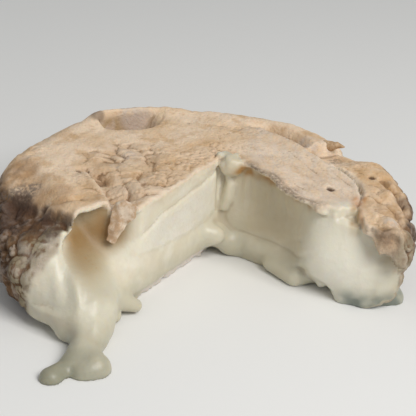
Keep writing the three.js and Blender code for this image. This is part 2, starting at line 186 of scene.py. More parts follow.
class Noise:
    """Seeded gradient noise and cell noise on arrays of points."""

    entries = 256
    gain = 1.6
    layer_shift = 31.7
    beyond = 9.0

    def __init__(self, seed: int) -> None:
        """Draws the tables.

        Args:
            seed: Which of the noises this is.
        """
        draw = np.random.default_rng(seed)
        self.table = draw.permutation(self.entries).astype(np.int32)
        slopes = draw.normal(size=(3, self.entries))
        self.slopes = (slopes / np.linalg.norm(slopes, axis=0)).astype(np.float32)
        self.seeds = draw.random((3, self.entries)).astype(np.float32)

    def _corners(self, base: Array, offsets: tuple[int, ...]) -> Iterator[tuple[tuple[int, ...], Array]]:
        """Lattice corners around the points.

        Args:
            base: Lattice cell of each point.
            offsets: How far the corners lie from the cell, along each axis.

        Yields:
            Each corner's offsets, with its entries of the tables.
        """
        last = self.entries - 1
        for i in offsets:
            first = self.table[(base[0] + i) & last]
            for j in offsets:
                second = self.table[(first + base[1] + j) & last]
                for k in offsets:
                    yield (i, j, k), self.table[(second + base[2] + k) & last]

    @staticmethod
    def _split(points: Array, pitch: Pitch) -> tuple[Array, Array]:
        """Parts points into lattice cells and the places in them.

        Args:
            points: Points, one a row.
            pitch: Size of the cells, one for all or one for each axis.

        Returns:
            Lattice cell of each point, and its place in that cell, one axis a row.
        """
        places = (points / np.asarray(pitch)).astype(np.float32).T
        base = np.floor(places)
        return base.astype(np.int32), places - base

    def smooth(self, points: Array, pitch: Pitch) -> Array:
        """Rolling noise from about -1 to 1.

        Args:
            points: Points, one a row.
            pitch: Size of its swells, one for all or one for each axis.

        Returns:
            The noise at each point.
        """
        base, part = self._split(points, pitch)
        ease = part**3 * (part * (part * 6.0 - 15.0) + 10.0)
        weights = (1.0 - ease, ease)
        total = np.zeros(len(points), np.float32)
        for (i, j, k), entry in self._corners(base, (0, 1)):
            slope = self.slopes[0][entry] * (part[0] - i)
            slope += self.slopes[1][entry] * (part[1] - j)
            slope += self.slopes[2][entry] * (part[2] - k)
            total += weights[i][0] * weights[j][1] * weights[k][2] * slope
        return self.gain * total

    def layered(self, points: Array, pitch: float, layers: int) -> Array:
        """Rolling noise with finer layers, each half as large and half as strong."""
        layer = (self.smooth(points + self.layer_shift * k, pitch / 2**k) / 2**k for k in range(layers))
        return sum(layer)

    def cells(self, points: Array, pitch: Pitch) -> tuple[Array, Array]:
        """Cell noise.

        Args:
            points: Points, one a row.
            pitch: Size of the cells, one for all or one for each axis.

        Returns:
            Distances to the nearest and to the second nearest cell centre, in cells.
        """
        base, part = self._split(points, pitch)
        nearest = np.full(len(points), self.beyond, np.float32)
        second = nearest.copy()
        for (i, j, k), entry in self._corners(base, (-1, 0, 1)):
            gap = (self.seeds[0][entry] + (i - part[0])) ** 2
            gap += (self.seeds[1][entry] + (j - part[1])) ** 2
            gap += (self.seeds[2][entry] + (k - part[2])) ** 2
            second = np.minimum(second, np.maximum(gap, nearest))
            nearest = np.minimum(nearest, gap)
        return np.sqrt(nearest), np.sqrt(second)

    def facets(self, points: Array, pitch: Pitch) -> tuple[Array, Array, Array]:
        """Cell noise whose cells are each tilted their own way.

        Args:
            points: Points, one a row.
            pitch: Size of the cells, one for all or one for each axis.

        Returns:
            Distances to the nearest and to the second nearest cell centre, and the height of the facet.
        """
        base, part = self._split(points, pitch)
        nearest = np.full(len(points), self.beyond, np.float32)
        second, height = nearest.copy(), np.zeros_like(nearest)
        for (i, j, k), entry in self._corners(base, (-1, 0, 1)):
            away = [self.seeds[axis][entry] + (step - part[axis]) for axis, step in enumerate((i, j, k))]
            gap = away[0] ** 2 + away[1] ** 2 + away[2] ** 2
            tilted = away[0] * self.slopes[0][entry] + away[1] * self.slopes[1][entry]
            height = np.where(gap < nearest, tilted, height)
            second = np.minimum(second, np.maximum(gap, nearest))
            nearest = np.minimum(nearest, gap)
        return np.sqrt(nearest), np.sqrt(second), height


# ------------------------------------------------------------------------------------ forms


@dataclass(frozen=True)
class Spot:
    """A soft round spot: its middle and its reach."""

    middle: Point
    reach: float

    def at(self, points: Array) -> Array:
        """One in the spot's middle, fading outwards."""
        return bell(np.linalg.norm(points - self.middle, axis=1) / self.reach)


@dataclass(frozen=True)
class Wall:
    """The wheel's bulging side wall, with its mould knobs."""

    belly: float = 56.0
    belly_level: float = 16.0
    barrel: float = 2.2
    foot_level: float = 5.0
    swell: Pairs = (
        (-180, 1.3), (-150, 0.6), (-128, -0.4), (-60, 0), (-28, 0.6), (-5, 1.5), (12, 2.6),
        (27, 3.2), (40, 0.6), (60, -0.5), (92, -0.3), (112, 0.7), (135, 0.5), (155, 0.5), (180, 1.3),
    )
    foot_rounding: Pairs = (
        (-155, 3.2), (-138, 11), (-122, 9), (-90, 4), (-25, 6.5), (0, 5), (20, 3.2),
    )
    swell_depth: float = 0.7
    swell_pitch: float = 23.0
    warp: float = 1.8
    warp_pitch: float = 6.0
    warp_shifts: tuple[float, ...] = (0.0, 17.0, 43.0)
    knob: float = 1.7
    knob_pitch: float = 6.0
    knob_rise: float = 0.55
    crack_depth: float = 0.35
    crack_width: float = 0.11
    crumb: float = 0.6
    crumb_pitch: float = 2.3
    crumb_shift: float = 9.0
    seam_depth: float = 0.25
    seam_width: float = 0.12
    fold: float = 0.7
    fold_pitch: Pitch = (3.4, 3.4, 12.0)

    def radius(self, z: Array, heading: Array, height: float) -> Array:
        """Radius of the wall.

        Args:
            z: Levels over the table.
            heading: Headings from the wheel's axis, in degrees.
            height: Height of the wheel's top.

        Returns:
            The radius at each level and heading.
        """
        drawn_in = self.barrel * ((z - self.belly_level) / (height - self.belly_level)) ** 2
        foot = np.maximum(0.0, 1.0 - np.maximum(z, 0.0) / self.foot_level)
        swell = run(self.swell, heading) * rise(z, 0.0, self.belly_level)
        return self.belly + swell - drawn_in - run(self.foot_rounding, heading) * foot * foot

    def knobs(self, points: Array, noise: Noise) -> Array:
        """Cauliflower knobs of the mouldy wall, the cracks between them, and folds that run down it.

        Args:
            points: Points from the wheel's axis, one a row.
            noise: The noise that every form shares.

        Returns:
            How far the wall stands out at each point.
        """
        warp = [noise.smooth(points + shift, self.warp_pitch) for shift in self.warp_shifts]
        warped = points + self.warp * np.stack(warp, axis=1)
        nearest, second = noise.cells(warped, self.knob_pitch)
        small, small_second = noise.cells(warped + self.crumb_shift, self.crumb_pitch)
        cracks = bell((second - nearest) / self.crack_width)
        crumbs = 0.5 - small - self.seam_depth * bell((small_second - small) / self.seam_width)
        knobs = self.knob * (self.knob_rise - nearest - self.crack_depth * cracks) + self.crumb * crumbs
        return knobs + self.fold * noise.smooth(points, self.fold_pitch)


@dataclass(frozen=True)
class Top:
    """The wheel's top, with its rim, pocket, groove, flap, tongue and mat print."""

    height: float = 29.6
    rim_rise: Pairs = (
        (34, 0), (43, 0.2), (52, 0.5), (60, 0.7), (88, 0.3), (108, 1.7), (131, 3.0), (137, 1.0),
        (150, -0.2),
    )
    rim_radius: float = 50.5
    rim_width: float = 3.4
    pocket_edge: Pairs = (
        (-36.8, 46.0), (-34.6, 38.0), (-30.3, 31.6), (-26.8, 30.4), (-22.9, 31.3), (-20.0, 31.7),
        (-17.3, 33.5), (-14.8, 37.2), (-13.2, 42.3), (-13.4, 50.0),
    )
    pocket_rim: Reach = (47.6, 49.6)
    pocket_outside: Reach = (49.5, 51.0)
    pocket_end: Reach = (104.5, 119.5)
    pocket_lip: float = 3.2
    pocket_lip_reach: Reach = (-0.3, 0.9)
    pocket_floor: float = 4.3
    pocket_floor_reach: Reach = (1.5, 5.0)
    pocket_wander: float = 0.4
    groove_depth: float = 4.2
    groove_wander: float = 0.35
    groove_edge: Reach = (-0.4, 0.9)
    groove_far_side: Reach = (2.6, 6.2)
    groove_sector: Stretch = (44.0, 70.0, 7.0)
    groove_shallow_end: Reach = (46.0, 58.0)
    groove_shallow: float = 0.5
    step_sector: Stretch = (-60.0, 44.5, 2.0)
    step_wander: float = 5.0
    step_drop: Pairs = ((-40, 4.6), (-15, 3.6), (8, 0.8), (24, 1.3), (37, 4.6))
    tongue_sag: float = 3.2
    slump_drop: float = 8.5
    slump_edge: Pairs = (
        (-60.0, 1.0), (-52.0, -6.5), (-45.6, -12.6), (-42.0, -15.4), (-38.5, -20.3), (-34.0, -23.8),
        (-30.0, -26.0),
    )
    slump_step: float = 1.4
    flap_edge: Pairs = ((-36.0, 4.0), (-32.0, -0.5), (-27.6, -8.9), (-24.9, -15.2), (-24.6, -22.0))
    flap_step: float = 2.0
    fold: Pairs = ((-43.0, -15.0), (-36.5, -17.5), (-32.0, -16.5))
    grainy: Pairs = ((-13.0, -4.0), (-6.0, 10.0), (3.0, 19.0))
    far_fold: Pairs = ((49.5, 15.0), (53.0, 6.0), (55.2, -3.0))
    far_lobe: Pairs = ((44.5, 4.0), (48.0, 0.5), (51.0, -4.0), (52.5, -10.0))
    far_crust: tuple[float, float] = (47.5, -11.0)
    far_crust_reach: float = 6.0
    dents: tuple[tuple[float, float, float, float], ...] = (
        (-6.4, 40.1, 1.5, 0.5), (3.7, 39.8, 1.3, 0.45), (8.2, 38.5, 1.6, 0.6), (20.0, 31.0, 2.2, 0.4),
        (34.3, 5.6, 0.9, 2.4), (46.6, 15.9, 0.8, 1.6), (-34.0, 1.4, 1.5, 2.0), (-30.6, 1.4, 2.2, 0.9),
        (-28.4, -1.7, 1.5, 1.2), (-45.0, -14.8, 1.7, 2.3), (-41.6, -16.2, 1.5, 2.2), (-49.5, -10.5, 2.6, 1.8),
        (-16.3, 18.9, 0.9, 0.6), (-16.5, 13.6, 0.9, 0.6), (-11.6, 9.7, 0.9, 0.5), (-38.2, -22.5, 1.6, 1.4),
        (34.8, 37.6, 3.2, 1.3), (-34.7, -24.6, 1.9, 1.8),
    )
    streak_heading: float = -55.0
    cobble_centre: tuple[float, float] = (-22.0, 2.5)
    cobble_reach: tuple[float, float] = (14.5, 21.0)
    cobble_pitch: tuple[float, float] = (5.8, 6.6)
    cobble_turn: float = 10.0
    cobble_joint: float = 0.7
    cobble_joint_width: float = 0.2
    cobble_tilt: float = 0.6
    cobble_dome: float = 1.2
    cobble_facet: float = 1.7

    def cobbles(self, x: Array, y: Array, noise: Noise) -> tuple[Array, Array, Array]:
        """The mat's print: uneven cobbles, each one tilted over the next like a scale.

        Args:
            x: Places across.
            y: Places along.
            noise: The noise that makes them uneven.

        Returns:
            Depth of the print, a mask of its joints and of its low sides (the low sides as painted shade),
            and a mask of the print.
        """
        flat = laid(x, y)
        wavy = 0.5 * noise.smooth(flat + 15.0, 2.4)
        across, along = turned(x, y, self.cobble_turn)
        across = across + 1.3 * noise.smooth(flat, 6.0) + wavy
        along = along + 1.6 * noise.smooth(flat + 50.0, 8.0) - wavy
        nearest, second, facet = noise.facets(laid(across, along), (*self.cobble_pitch, ENDLESS))
        joint = bell((second - nearest) / self.cobble_joint_width)
        row = along / self.cobble_pitch[1] + 0.35 * noise.smooth(flat + 75.0, 9.0)
        tilt = row - np.floor(row)
        away = np.hypot((x - self.cobble_centre[0]) / self.cobble_reach[0],
                        (y - self.cobble_centre[1]) / self.cobble_reach[1])
        patch = (1.0 - rise(away, 0.5, 1.2)) * np.clip(0.75 + 0.6 * noise.smooth(flat + 90.0, 9.0), 0.2, 1.2)
        depth = self.cobble_joint * joint + self.cobble_tilt * tilt + self.cobble_dome * nearest * nearest
        depth = depth + self.cobble_facet * facet
        # second mask: the dark joints, and the cobbles' low sides as painted shade
        return patch * depth, patch * np.clip(0.4 * joint + 0.8 * rise(depth, 0.7, 2.0), 0.0, 1.0), patch

    def ragged(self, flat: Array, noise: Noise) -> Array:
        """Noise that makes the edges of the pocket, the groove and the flap ragged."""
        return 0.7 * noise.smooth(flat + 20.0, 7.0)

    def pocket(self, x: Array, y: Array, ragged: Array) -> tuple[Array, Array]:
        """The crescent pocket behind the raised rim.

        Args:
            x: Places across.
            y: Places along.
            ragged: Noise that makes its edges ragged.

        Returns:
            Depth of the pocket, and a mask of it.
        """
        within = self.pocket_wander * ragged - off_path(x, y, self.pocket_edge)[1]
        r, end = np.hypot(x, y), rise(np.degrees(np.arctan2(y, x)), *self.pocket_end)
        beside = rise(within, *self.pocket_lip_reach)
        depth = self.pocket_lip * beside + self.pocket_floor * rise(within, *self.pocket_floor_reach)
        in_rim = 1.0 - rise(r + ragged, *self.pocket_rim)
        return depth * in_rim * end, beside * (1.0 - rise(r, *self.pocket_outside)) * end

    def groove(self, x: Array, y: Array, heading: Array, ragged: Array) -> tuple[Array, Array]:
        """The groove along the tongue's far edge, and the step down to the far right piece.

        Args:
            x: Places across.
            y: Places along.
            heading: Headings from the wheel's axis, in degrees.
            ragged: Noise that makes their edges ragged.

        Returns:
            Depth of both, and a mask of the groove.
        """
        beyond = self.groove_wander * ragged - off_path(x, y, TONGUE_EDGE)[1]
        over = rise(beyond, *self.groove_edge)
        groove = over * (1.0 - rise(beyond, *self.groove_far_side)) * sector(heading, *self.groove_sector)
        groove *= self.groove_shallow + (1.0 - self.groove_shallow) * rise(heading, *self.groove_shallow_end)
        torn = heading + self.step_wander * ragged
        step = over * run(self.step_drop, heading) * sector(torn, *self.step_sector)
        return np.maximum(self.groove_depth * groove, step), groove

    def slumped(self, x: Array, y: Array, noise: Noise) -> tuple[Array, Array]:
        """The slumped shoulder beyond the flap.

        Args:
            x: Places across.
            y: Places along.
            noise: The noise that every form shares.

        Returns:
            Distance outside the flap's edge, and a mask of what lies there.
        """
        flat = laid(x, y)
        outside = off_path(x, y, self.slump_edge)[1] + 0.9 * noise.smooth(flat + 33.0, 5.0)
        outside = outside + 0.4 * noise.smooth(flat + 81.0, 2.0)
        near = sector(np.degrees(np.arctan2(y, x)), -188.0, -118.0, 3.0)
        return outside, near * rise(outside, -0.3, 1.1)

    def level(self, x: Array, y: Array, noise: Noise) -> Array:
        """Height of the top over the table.

        Args:
            x: Places across.
            y: Places along.
            noise: The noise that every form shares.

        Returns:
            The height at each place.
        """
        r = np.hypot(x, y)
        heading = np.degrees(np.arctan2(y, x))
        flat = laid(x, y)
        ragged = self.ragged(flat, noise)
        z = self.height + run(self.rim_rise, heading) * bell((r - self.rim_radius) / self.rim_width)
        z -= self.pocket(x, y, ragged)[0]
        sag = self.tongue_sag * rise(x, 10.0, 42.0) * (1.0 - rise(y, 10.0, 42.0))
        z -= np.maximum(sag, self.groove(x, y, heading, ragged)[0])
        z -= self.slump_drop * rise(r, 38.0, 55.0) * sector(heading, -172.0, -118.0, 14.0)
        outside, slumped = self.slumped(x, y, noise)
        z -= self.slump_step * slumped * (1.0 - rise(outside, 2.5, 9.0))
        _, inward = off_path(x, y, self.flap_edge)
        ends = span(y, -21.0, 2.0, 2.5)
        below_flap = rise(0.6 * ragged - inward, -0.2, 0.9) * (1.0 - rise(-inward, 1.5, 11.0))
        z -= self.flap_step * ends * below_flap
        z += 0.6 * ends * bell((inward - 1.8) / 2.2)
        z -= 0.9 * bell(off_path(x, y, self.fold)[0] / 1.6) * (1.0 - slumped)
        z -= 1.8 * bell(off_path(x, y, self.far_fold)[0] / 1.2)
        z -= 0.9 * bell(off_path(x, y, self.far_lobe)[0] / 0.9)
        for dent_x, dent_y, radius, depth in self.dents:
            z -= depth * bell(np.hypot(x - dent_x, y - dent_y) / radius)
        z -= self.cobbles(x, y, noise)[0]
        return z + self.wrinkles(x, y, r, heading, flat, noise)

    def steepness(self, x: Array, y: Array, noise: Noise) -> Array:
        """How much longer the way down to the top is than the way straight to it.

        Args:
            x: Places across.
            y: Places along.
            noise: The noise that every form shares.

        Returns:
            The ratio at each place.
        """
        probe = 0.2
        level = self.level(x, y, noise)
        slope_x = (self.level(x + probe, y, noise) - level) / probe
        slope_y = (self.level(x, y + probe, noise) - level) / probe
        return np.sqrt(1.0 + slope_x * slope_x + slope_y * slope_y)

    def wrinkles(self, x: Array, y: Array, r: Array, heading: Array, flat: Array, noise: Noise) -> Array:
        """Fine relief of the rind: rolls all over, streaks down the tongue, folds round the shoulder.

        Args:
            x: Places across.
            y: Places along.
            r: Distances from the wheel's axis.
            heading: Headings from the wheel's axis, in degrees.
            flat: The same places as points, one a row.
            noise: The noise that every form shares.

        Returns:
            Height of the relief at each place.
        """
        shoulder = rise(r, 30.0, 40.0) * sector(heading, 125.0, 212.0, 12.0)
        rough = (0.25 + 0.75 * rise(noise.smooth(flat + 61.0, 11.0), -0.1, 0.5)) * (1.0 - 0.85 * shoulder)
        rolls = 0.35 * noise.smooth(flat, 9.0) + 0.16 * noise.smooth(flat + 5.0, 3.4) * (1.0 - 0.6 * shoulder)
        pores, pores_second = noise.cells(flat + 1.1 * noise.smooth(flat, 3.0)[:, None], 1.7)
        rolls += rough * (0.2 * (0.5 - pores) - 0.12 * bell((pores_second - pores) / 0.12))
        streaks = noise.smooth(laid(*turned(x, y, self.streak_heading)), (9.0, 1.8, 1.0))
        on_tongue = rise(x, 9.0, 16.0) * (1.0 - rise(x, 42.0, 46.0)) * (1.0 - rise(y, 22.0, 30.0))
        around = noise.smooth(laid(heading * 0.9, r), (9.0, 2.4, 1.0))
        knobs = 0.5 - noise.cells(flat + 3.0, 4.6)[0]
        far_piece = rise(x, 43.5, 46.0) * (1.0 - rise(heading, 12.0, 24.0))
        crumbs = 0.5 - noise.cells(flat + 7.0, 1.25)[0]
        by_vertex = bell(off_path(x, y, self.grainy)[0] / 7.5)
        far_crust = bell(np.hypot(x - self.far_crust[0], y - self.far_crust[1]) / self.far_crust_reach)
        bumps = 0.5 - noise.cells(flat + 13.0, 3.4)[0]
        bumps = bumps * rise(r, 43.0, 50.0) * sector(heading, 158.0, 196.0, 8.0)
        return (
            rolls
            + 0.42 * streaks * on_tongue
            + 0.22 * around * shoulder
            + 1.9 * knobs * far_piece
            + 0.9 * crumbs * by_vertex
            + 0.6 * crumbs * far_crust
            + 1.3 * bumps
        )


@dataclass(frozen=True)
class Cut:
    """One cut face of the opening, as recesses behind an upright plane from the vertex."""

    heading: float
    side: float
    rind: Pairs
    paste: Pairs
    lip: Pairs
    lip_fade: float = 0.5

    def place(self, x: Array, y: Array, vertex: tuple[float, float]) -> tuple[Array, Array]:
        """Places points along the cut and behind it.

        Args:
            x: Places across.
            y: Places along.
            vertex: Where the two cuts meet.

        Returns:
            Distance along the cut from the vertex, and behind it into the cheese.
        """
        along, across = turned(x - vertex[0], y - vertex[1], self.heading)
        return along, self.side * across

    def edge(self, along: Array, depth: Array, paste: Array, ragged: Array) -> Array:
        """Recess of the face where the rind's edge lies over the paste like a lip.

        Args:
            along: Distances along the cut from the vertex.
            depth: Depths below the top.
            paste: Recess of the paste.
            ragged: Raggedness of the rind's edge.

        Returns:
            How far the face lies behind the cut's plane.
        """
        below = rise(depth, run(self.lip, along) - self.lip_fade, run(self.lip, along) + self.lip_fade)
        rind = run(self.rind, along) + ragged
        return rind + (paste - rind) * below


@dataclass(frozen=True)
class Opening:
    """The missing wedge, its two cut faces, the slumped corner and the tear in the rind."""

    vertex: tuple[float, float] = (4.7, 16.4)
    left: Cut = Cut(
        heading=-120.5,
        side=-1.0,
        rind=(
            (0, 0.0), (10, 0.5), (22, 0.2), (34, -0.2), (41.5, 0.2), (45.5, 8.2), (54, 11), (60, 10),
            (70, 13),
        ),
        paste=((0, 0.2), (20, 0.2), (38, 0.1), (50, 0.6), (58, 0.2), (64, 2), (70, 6)),
        lip=((0, 1.2), (40, 1.5), (44, 1.9), (54, 1.9), (57, 2.6), (62, 9), (68, 14)),
    )
    right: Cut = Cut(
        heading=-38.0,
        side=1.0,
        rind=(
            (0, 0.4), (8, 0.8), (15, -0.5), (23, -3.1), (29, -4.4), (34, -3.0), (38.5, 0.4), (42, 6),
            (44.5, 3), (48, -0.8), (53, -0.4), (57, 2), (62, 6),
        ),
        paste=(
            (0, 0.3), (10, 1.4), (18, 2.0), (22, 1.8), (33, -0.6), (38, 0.3), (42, 0.8), (48, 2.2),
            (52, 4), (56, 7.5), (62, 13),
        ),
        lip=((0, 1.3), (30, 1.5), (36, 2.4), (50, 3.2), (54, 7), (58, 11)),
    )
    blend: float = 2.0
    edge_rounding: float = 0.7
    corner_rounding: float = 5.0
    trough: tuple[Knot, ...] = ((-28.4, -34.6, 20.6, 8.2), (-26.0, -40.8, 17.8, 8.4))
    trough_blend: float = 4.0
    hollow_depth: float = 14.5
    crease: Pairs = ((1.0, 27.5), (6.0, 25.6), (12.0, 24.6), (29.4, 23.2), (38.7, 20.5), (46.0, 15.0))
    core_floor: Pairs = ((0.0, 15.0), (8.0, 13.2), (18.0, 12.6), (30.0, 13.5), (40.0, 15.0))
    tear: Pairs = TEAR
    crust_edge: Pairs = ((-33.0, -20.0), (-34.0, -25.0), (-37.2, -32.6), (-40.3, -35.3), (-40.0, -42.0))
    corner_heading: float = -95.0
    corner_foot: float = 40.2
    corner_top: float = 32.5
    corner_lean: Reach = (13.0, 27.0)

    def left_paste(self, along: Array, z: Array, noise: Noise) -> Array:
        """Recess of the left face's paste: the hollow under the flap, foot bulge, scallops, creases.

        Args:
            along: Distances along the cut from the vertex.
            z: Levels over the table.
            noise: The noise that every form shares.

        Returns:
            How far the paste lies behind the cut's plane.
        """
        flat = laid(along, 0.3 * z)
        crease_level, floor = run(self.crease, along), run(self.core_floor, along)
        hollow = self.hollow_depth * rise(along, 39.5, 50.0) * rise(z, 7.0, 27.0)
        bulge = 0.9 * bell((z - 8.0) / 5.0)
        undercut = 2.2 * (1.0 - rise(z, 0.0, 5.0))
        scallop = 1.3 * noise.smooth(flat, 2.6) * (1.0 - rise(z, 0.5, 4.5))
        crumbs = 0.5 - noise.cells(laid(along, z), 1.5)[0]
        scallop -= 0.7 * crumbs * (1.0 - rise(z, 2.0, 4.5)) * span(along, 4.0, 34.0, 3.0)
        on_face = 1.0 - rise(along, 38.0, 44.0)
        wavy = crease_level + 0.7 * noise.smooth(flat, (5.0, 1.0, 1.0))
        crease = 0.3 * bell((z - wavy) / 0.9) * on_face
        shelf = 0.3 * rise(z, floor - 0.6, floor + 0.6) * on_face
        shelf *= 1.0 - rise(z, crease_level - 0.5, crease_level)
        slit = 0.9 * bell((along - 2.6) / 0.6) * span(z, 14.0, 27.0, 1.0)
        return run(self.left.paste, along) + hollow - bulge + undercut + scallop + crease + slit - shelf

    def right_paste(self, along: Array, z: Array, noise: Noise) -> Array:
        """Recess of the right face's paste: its hollow, drips, foot, undercut and shaded end.

        Args:
            along: Distances along the cut from the vertex.
            z: Levels over the table.
            noise: The noise that every form shares.

        Returns:
            How far the paste lies behind the cut's plane.
        """
        hollow = 1.8 * bell((along - 17.0) / 9.0) * bell((z - 17.0) / 7.0)
        bulge = 1.6 * bell((z - 4.5) / 3.5) * (1.0 - rise(along, 24.0, 30.0))
        undercut = 5.0 * span(along, 27.0, 39.0, 3.0) * (1.0 - rise(z, 0.0, 7.0))
        shade = 2.5 * span(along, 47.0, 58.0, 3.0) * bell((z - 19.0) / 5.0)
        drips = 0.8 * noise.smooth(laid(along, z), (2.6, 11.0, 1.0))
        drips *= span(along, 5.0, 28.0, 3.0) * rise(z, 10.0, 20.0)
        folds = 0.6 * noise.smooth(laid(along + z, z - 0.5 * along), (7.0, 2.2, 1.0))
        drips += folds * span(along, 25.0, 54.0, 3.0) * (1.0 - rise(z, 12.0, 20.0))
        crease = 0.45 * bell((z - 8.6 + 0.02 * along) / 0.7) * span(along, 6.0, 27.0, 2.0)
        return run(self.right.paste, along) + hollow - bulge + undercut + shade + crease - drips

    def missing(self, points: Array, top: Array, noise: Noise) -> Array:
        """Parts the missing wedge from the cheese on either side of it.

        Args:
            points: Points from the wheel's axis, one a row.
            top: Height of the top over each point.
            noise: The noise that every form shares.

        Returns:
            Above nought in the missing wedge, below nought in the cheese.
        """
        x, y, z = points.T
        ragged = 0.6 * noise.smooth(points + 70.0, 6.0) + 0.3 * noise.smooth(points + 11.0, 2.6)
        crumbly = 0.8 * (noise.cells(points + 23.0, 1.7)[0] - 0.5) * rise(z, 22.0, 25.0)
        along, behind = self.left.place(x, y, self.vertex)
        left_edge = 0.7 * ragged + 0.7 * crumbly
        left = self.left.edge(along, top - z, self.left_paste(along, z, noise), left_edge) - behind
        along, behind = self.right.place(x, y, self.vertex)
        right_edge = 1.4 * ragged + 1.3 * crumbly
        right = self.right.edge(along, top - z, self.right_paste(along, z, noise), right_edge) - behind
        return blend_min(left, right, self.blend)

    def corner(self, points: Array) -> Array:
        """Above nought beyond the slumped corner, where the left cut face meets the wall."""
        leaning = rise(points[:, 2], *self.corner_lean)
        reach = self.corner_foot + (self.corner_top - self.corner_foot) * leaning
        return turned(points[:, 0], points[:, 1], self.corner_heading)[0] - reach

    def gap(self, points: Array, top: Array, noise: Noise) -> Array:
        """The tear between the tongue and the far right piece.

        Args:
            points: Points from the wheel's axis, one a row.
            top: Height of the top over each point.
            noise: The noise that every form shares.

        Returns:
            Below nought in the tear.
        """
        x, y, z = points.T
        open_end = 1.0 - rise(y, -8.0, 3.0)
        half_width = -0.1 + (0.45 + 0.9 * open_end) * rise(z, 22.0, top)
        off = off_path(x, y, self.tear)[0] + 0.5 * noise.smooth(points + 33.0, 4.0)
        return blend_max(off - half_width, 20.5 - z, 1.0)


@dataclass(frozen=True)
class Ooze:
    """Lumps and tapered strands of runny paste."""

    lumps: tuple[tuple[Point, Point, float], ...] = (
        ((6.9, 14.2, 27.8), (3.3, 2.9, 3.1), 0.9),
        ((5.0, 16.2, 30.0), (2.6, 1.7, 1.1), 0.5),
        ((7.6, 15.0, 30.2), (1.5, 1.3, 1.0), 0.4),
        ((9.6, 13.8, 28.6), (1.6, 1.5, 1.5), 0.8),
        ((1.0, 9.4, 8.2), (5.4, 3.0, 3.4), 2.4),
        ((4.0, 13.4, 6.4), (3.6, 3.0, 3.4), 2.0),
        ((8.2, 14.0, 3.6), (3.6, 3.0, 3.4), 2.0),
        ((36.5, -5.4, 14.0), (8.0, 5.4, 9.0), 5.5),
        ((44.5, -8.6, 9.0), (6.0, 4.0, 7.0), 5.0),
    )
    strands: tuple[tuple[tuple[Knot, ...], float], ...] = (
        (
            ((6.2, 15.0, 25.4, 0.4), (6.9, 14.9, 21.6, 1.3), (6.5, 15.1, 17.8, 1.5), (5.6, 15.2, 14.4, 0.9)),
            1.5,
        ),
        (((-31.5, -31, 8.6, 7.2), (-27.8, -34.5, 6.0, 6.5), (-26.3, -40, 3.4, 4.3)), 8.0),
        (((-26.4, -38, 3.4, 4.6), (-27.0, -46.5, 1.6, 3.7)), 3.0),
        (((-27.0, -46.5, 1.4, 3.6), (-24.0, -51.4, 0.4, 4.3)), 2.5),
        (((-27.6, -48.0, 1.2, 3.3), (-31.2, -53.0, 0.6, 2.4), (-33.8, -56.6, 0.2, 2.9)), 1.5),
        (((-28.2, -50.0, 0.6, 3.2), (-26.6, -53.6, 0.2, 3.0)), 2.0),
        (((-21.8, -24.6, 5.0, 3.2), (-16.2, -23.0, 2.4, 1.8)), 1.6),
        (((-24.0, -28.0, 5.0, 4.0), (-21.4, -28.4, 2.2, 1.9)), 1.4),
        (((-24.6, -34.0, 6.0, 4.4), (-23.6, -36.4, 2.6, 2.8)), 2.0),
        (((-30.0, -33.0, 6.0, 5.0), (-31.4, -37.0, 3.0, 4.0)), 3.0),
        (((42.4, -6.4, 1.6, 3.0), (48.0, -8.0, 0.8, 2.8), (53.0, -6.4, 0.8, 3.3)), 2.5),
        (((40.6, -6.6, 1.2, 2.6), (39.4, -8.4, 0.4, 1.7)), 1.5),
        (((33.0, -2.0, 5.0, 3.0), (33.6, -3.6, 2.4, 1.3)), 1.5),
        (((20.0, 5.6, 2.6, 2.4), (26.4, -0.8, 2.2, 2.8), (33.0, 1.0, 2.2, 1.8)), 2.0),
    )
    button: Spot = Spot((6.6, 14.8, 29.4), 4.5)
    button_swell: float = 0.5
    button_swell_pitch: float = 2.2
    button_crumb: float = 0.45
    button_crumb_pitch: float = 1.6
    spill: Spot = Spot((-28.0, -38.0, 8.0), 15.0)
    flow: float = 0.6
    flow_pitch: Pitch = (3.4, 6.5, 8.0)

    def add_to(self, body: Array, points: Array, noise: Noise) -> Array:
        """Grows every lump and strand onto the body.

        Args:
            body: The body's field.
            points: Points from the wheel's axis, one a row.
            noise: The noise that every form shares.

        Returns:
            Field of the body with its runny paste.
        """
        for centre, size, blend in self.lumps:
            body = blend_min(body, lump(points, centre, size), blend)
        for path, blend in self.strands:
            body = blend_min(body, strand(points, path), blend)
        crumpled = self.button_swell * noise.smooth(points, self.button_swell_pitch)
        crumpled += self.button_crumb * (0.5 - noise.cells(points, self.button_crumb_pitch)[0])
        body = body - self.button.at(points) * crumpled
        return body - self.flow * self.spill.at(points) * noise.smooth(points, self.flow_pitch)


@dataclass(frozen=True)
class Parts:
    """What the cheese's field is made of at each point, for the masks."""

    whole: Array
    cut: Array
    corner: Array
    body: Array
    full: Array
    top: Array
    side: Array
    slumped: Array


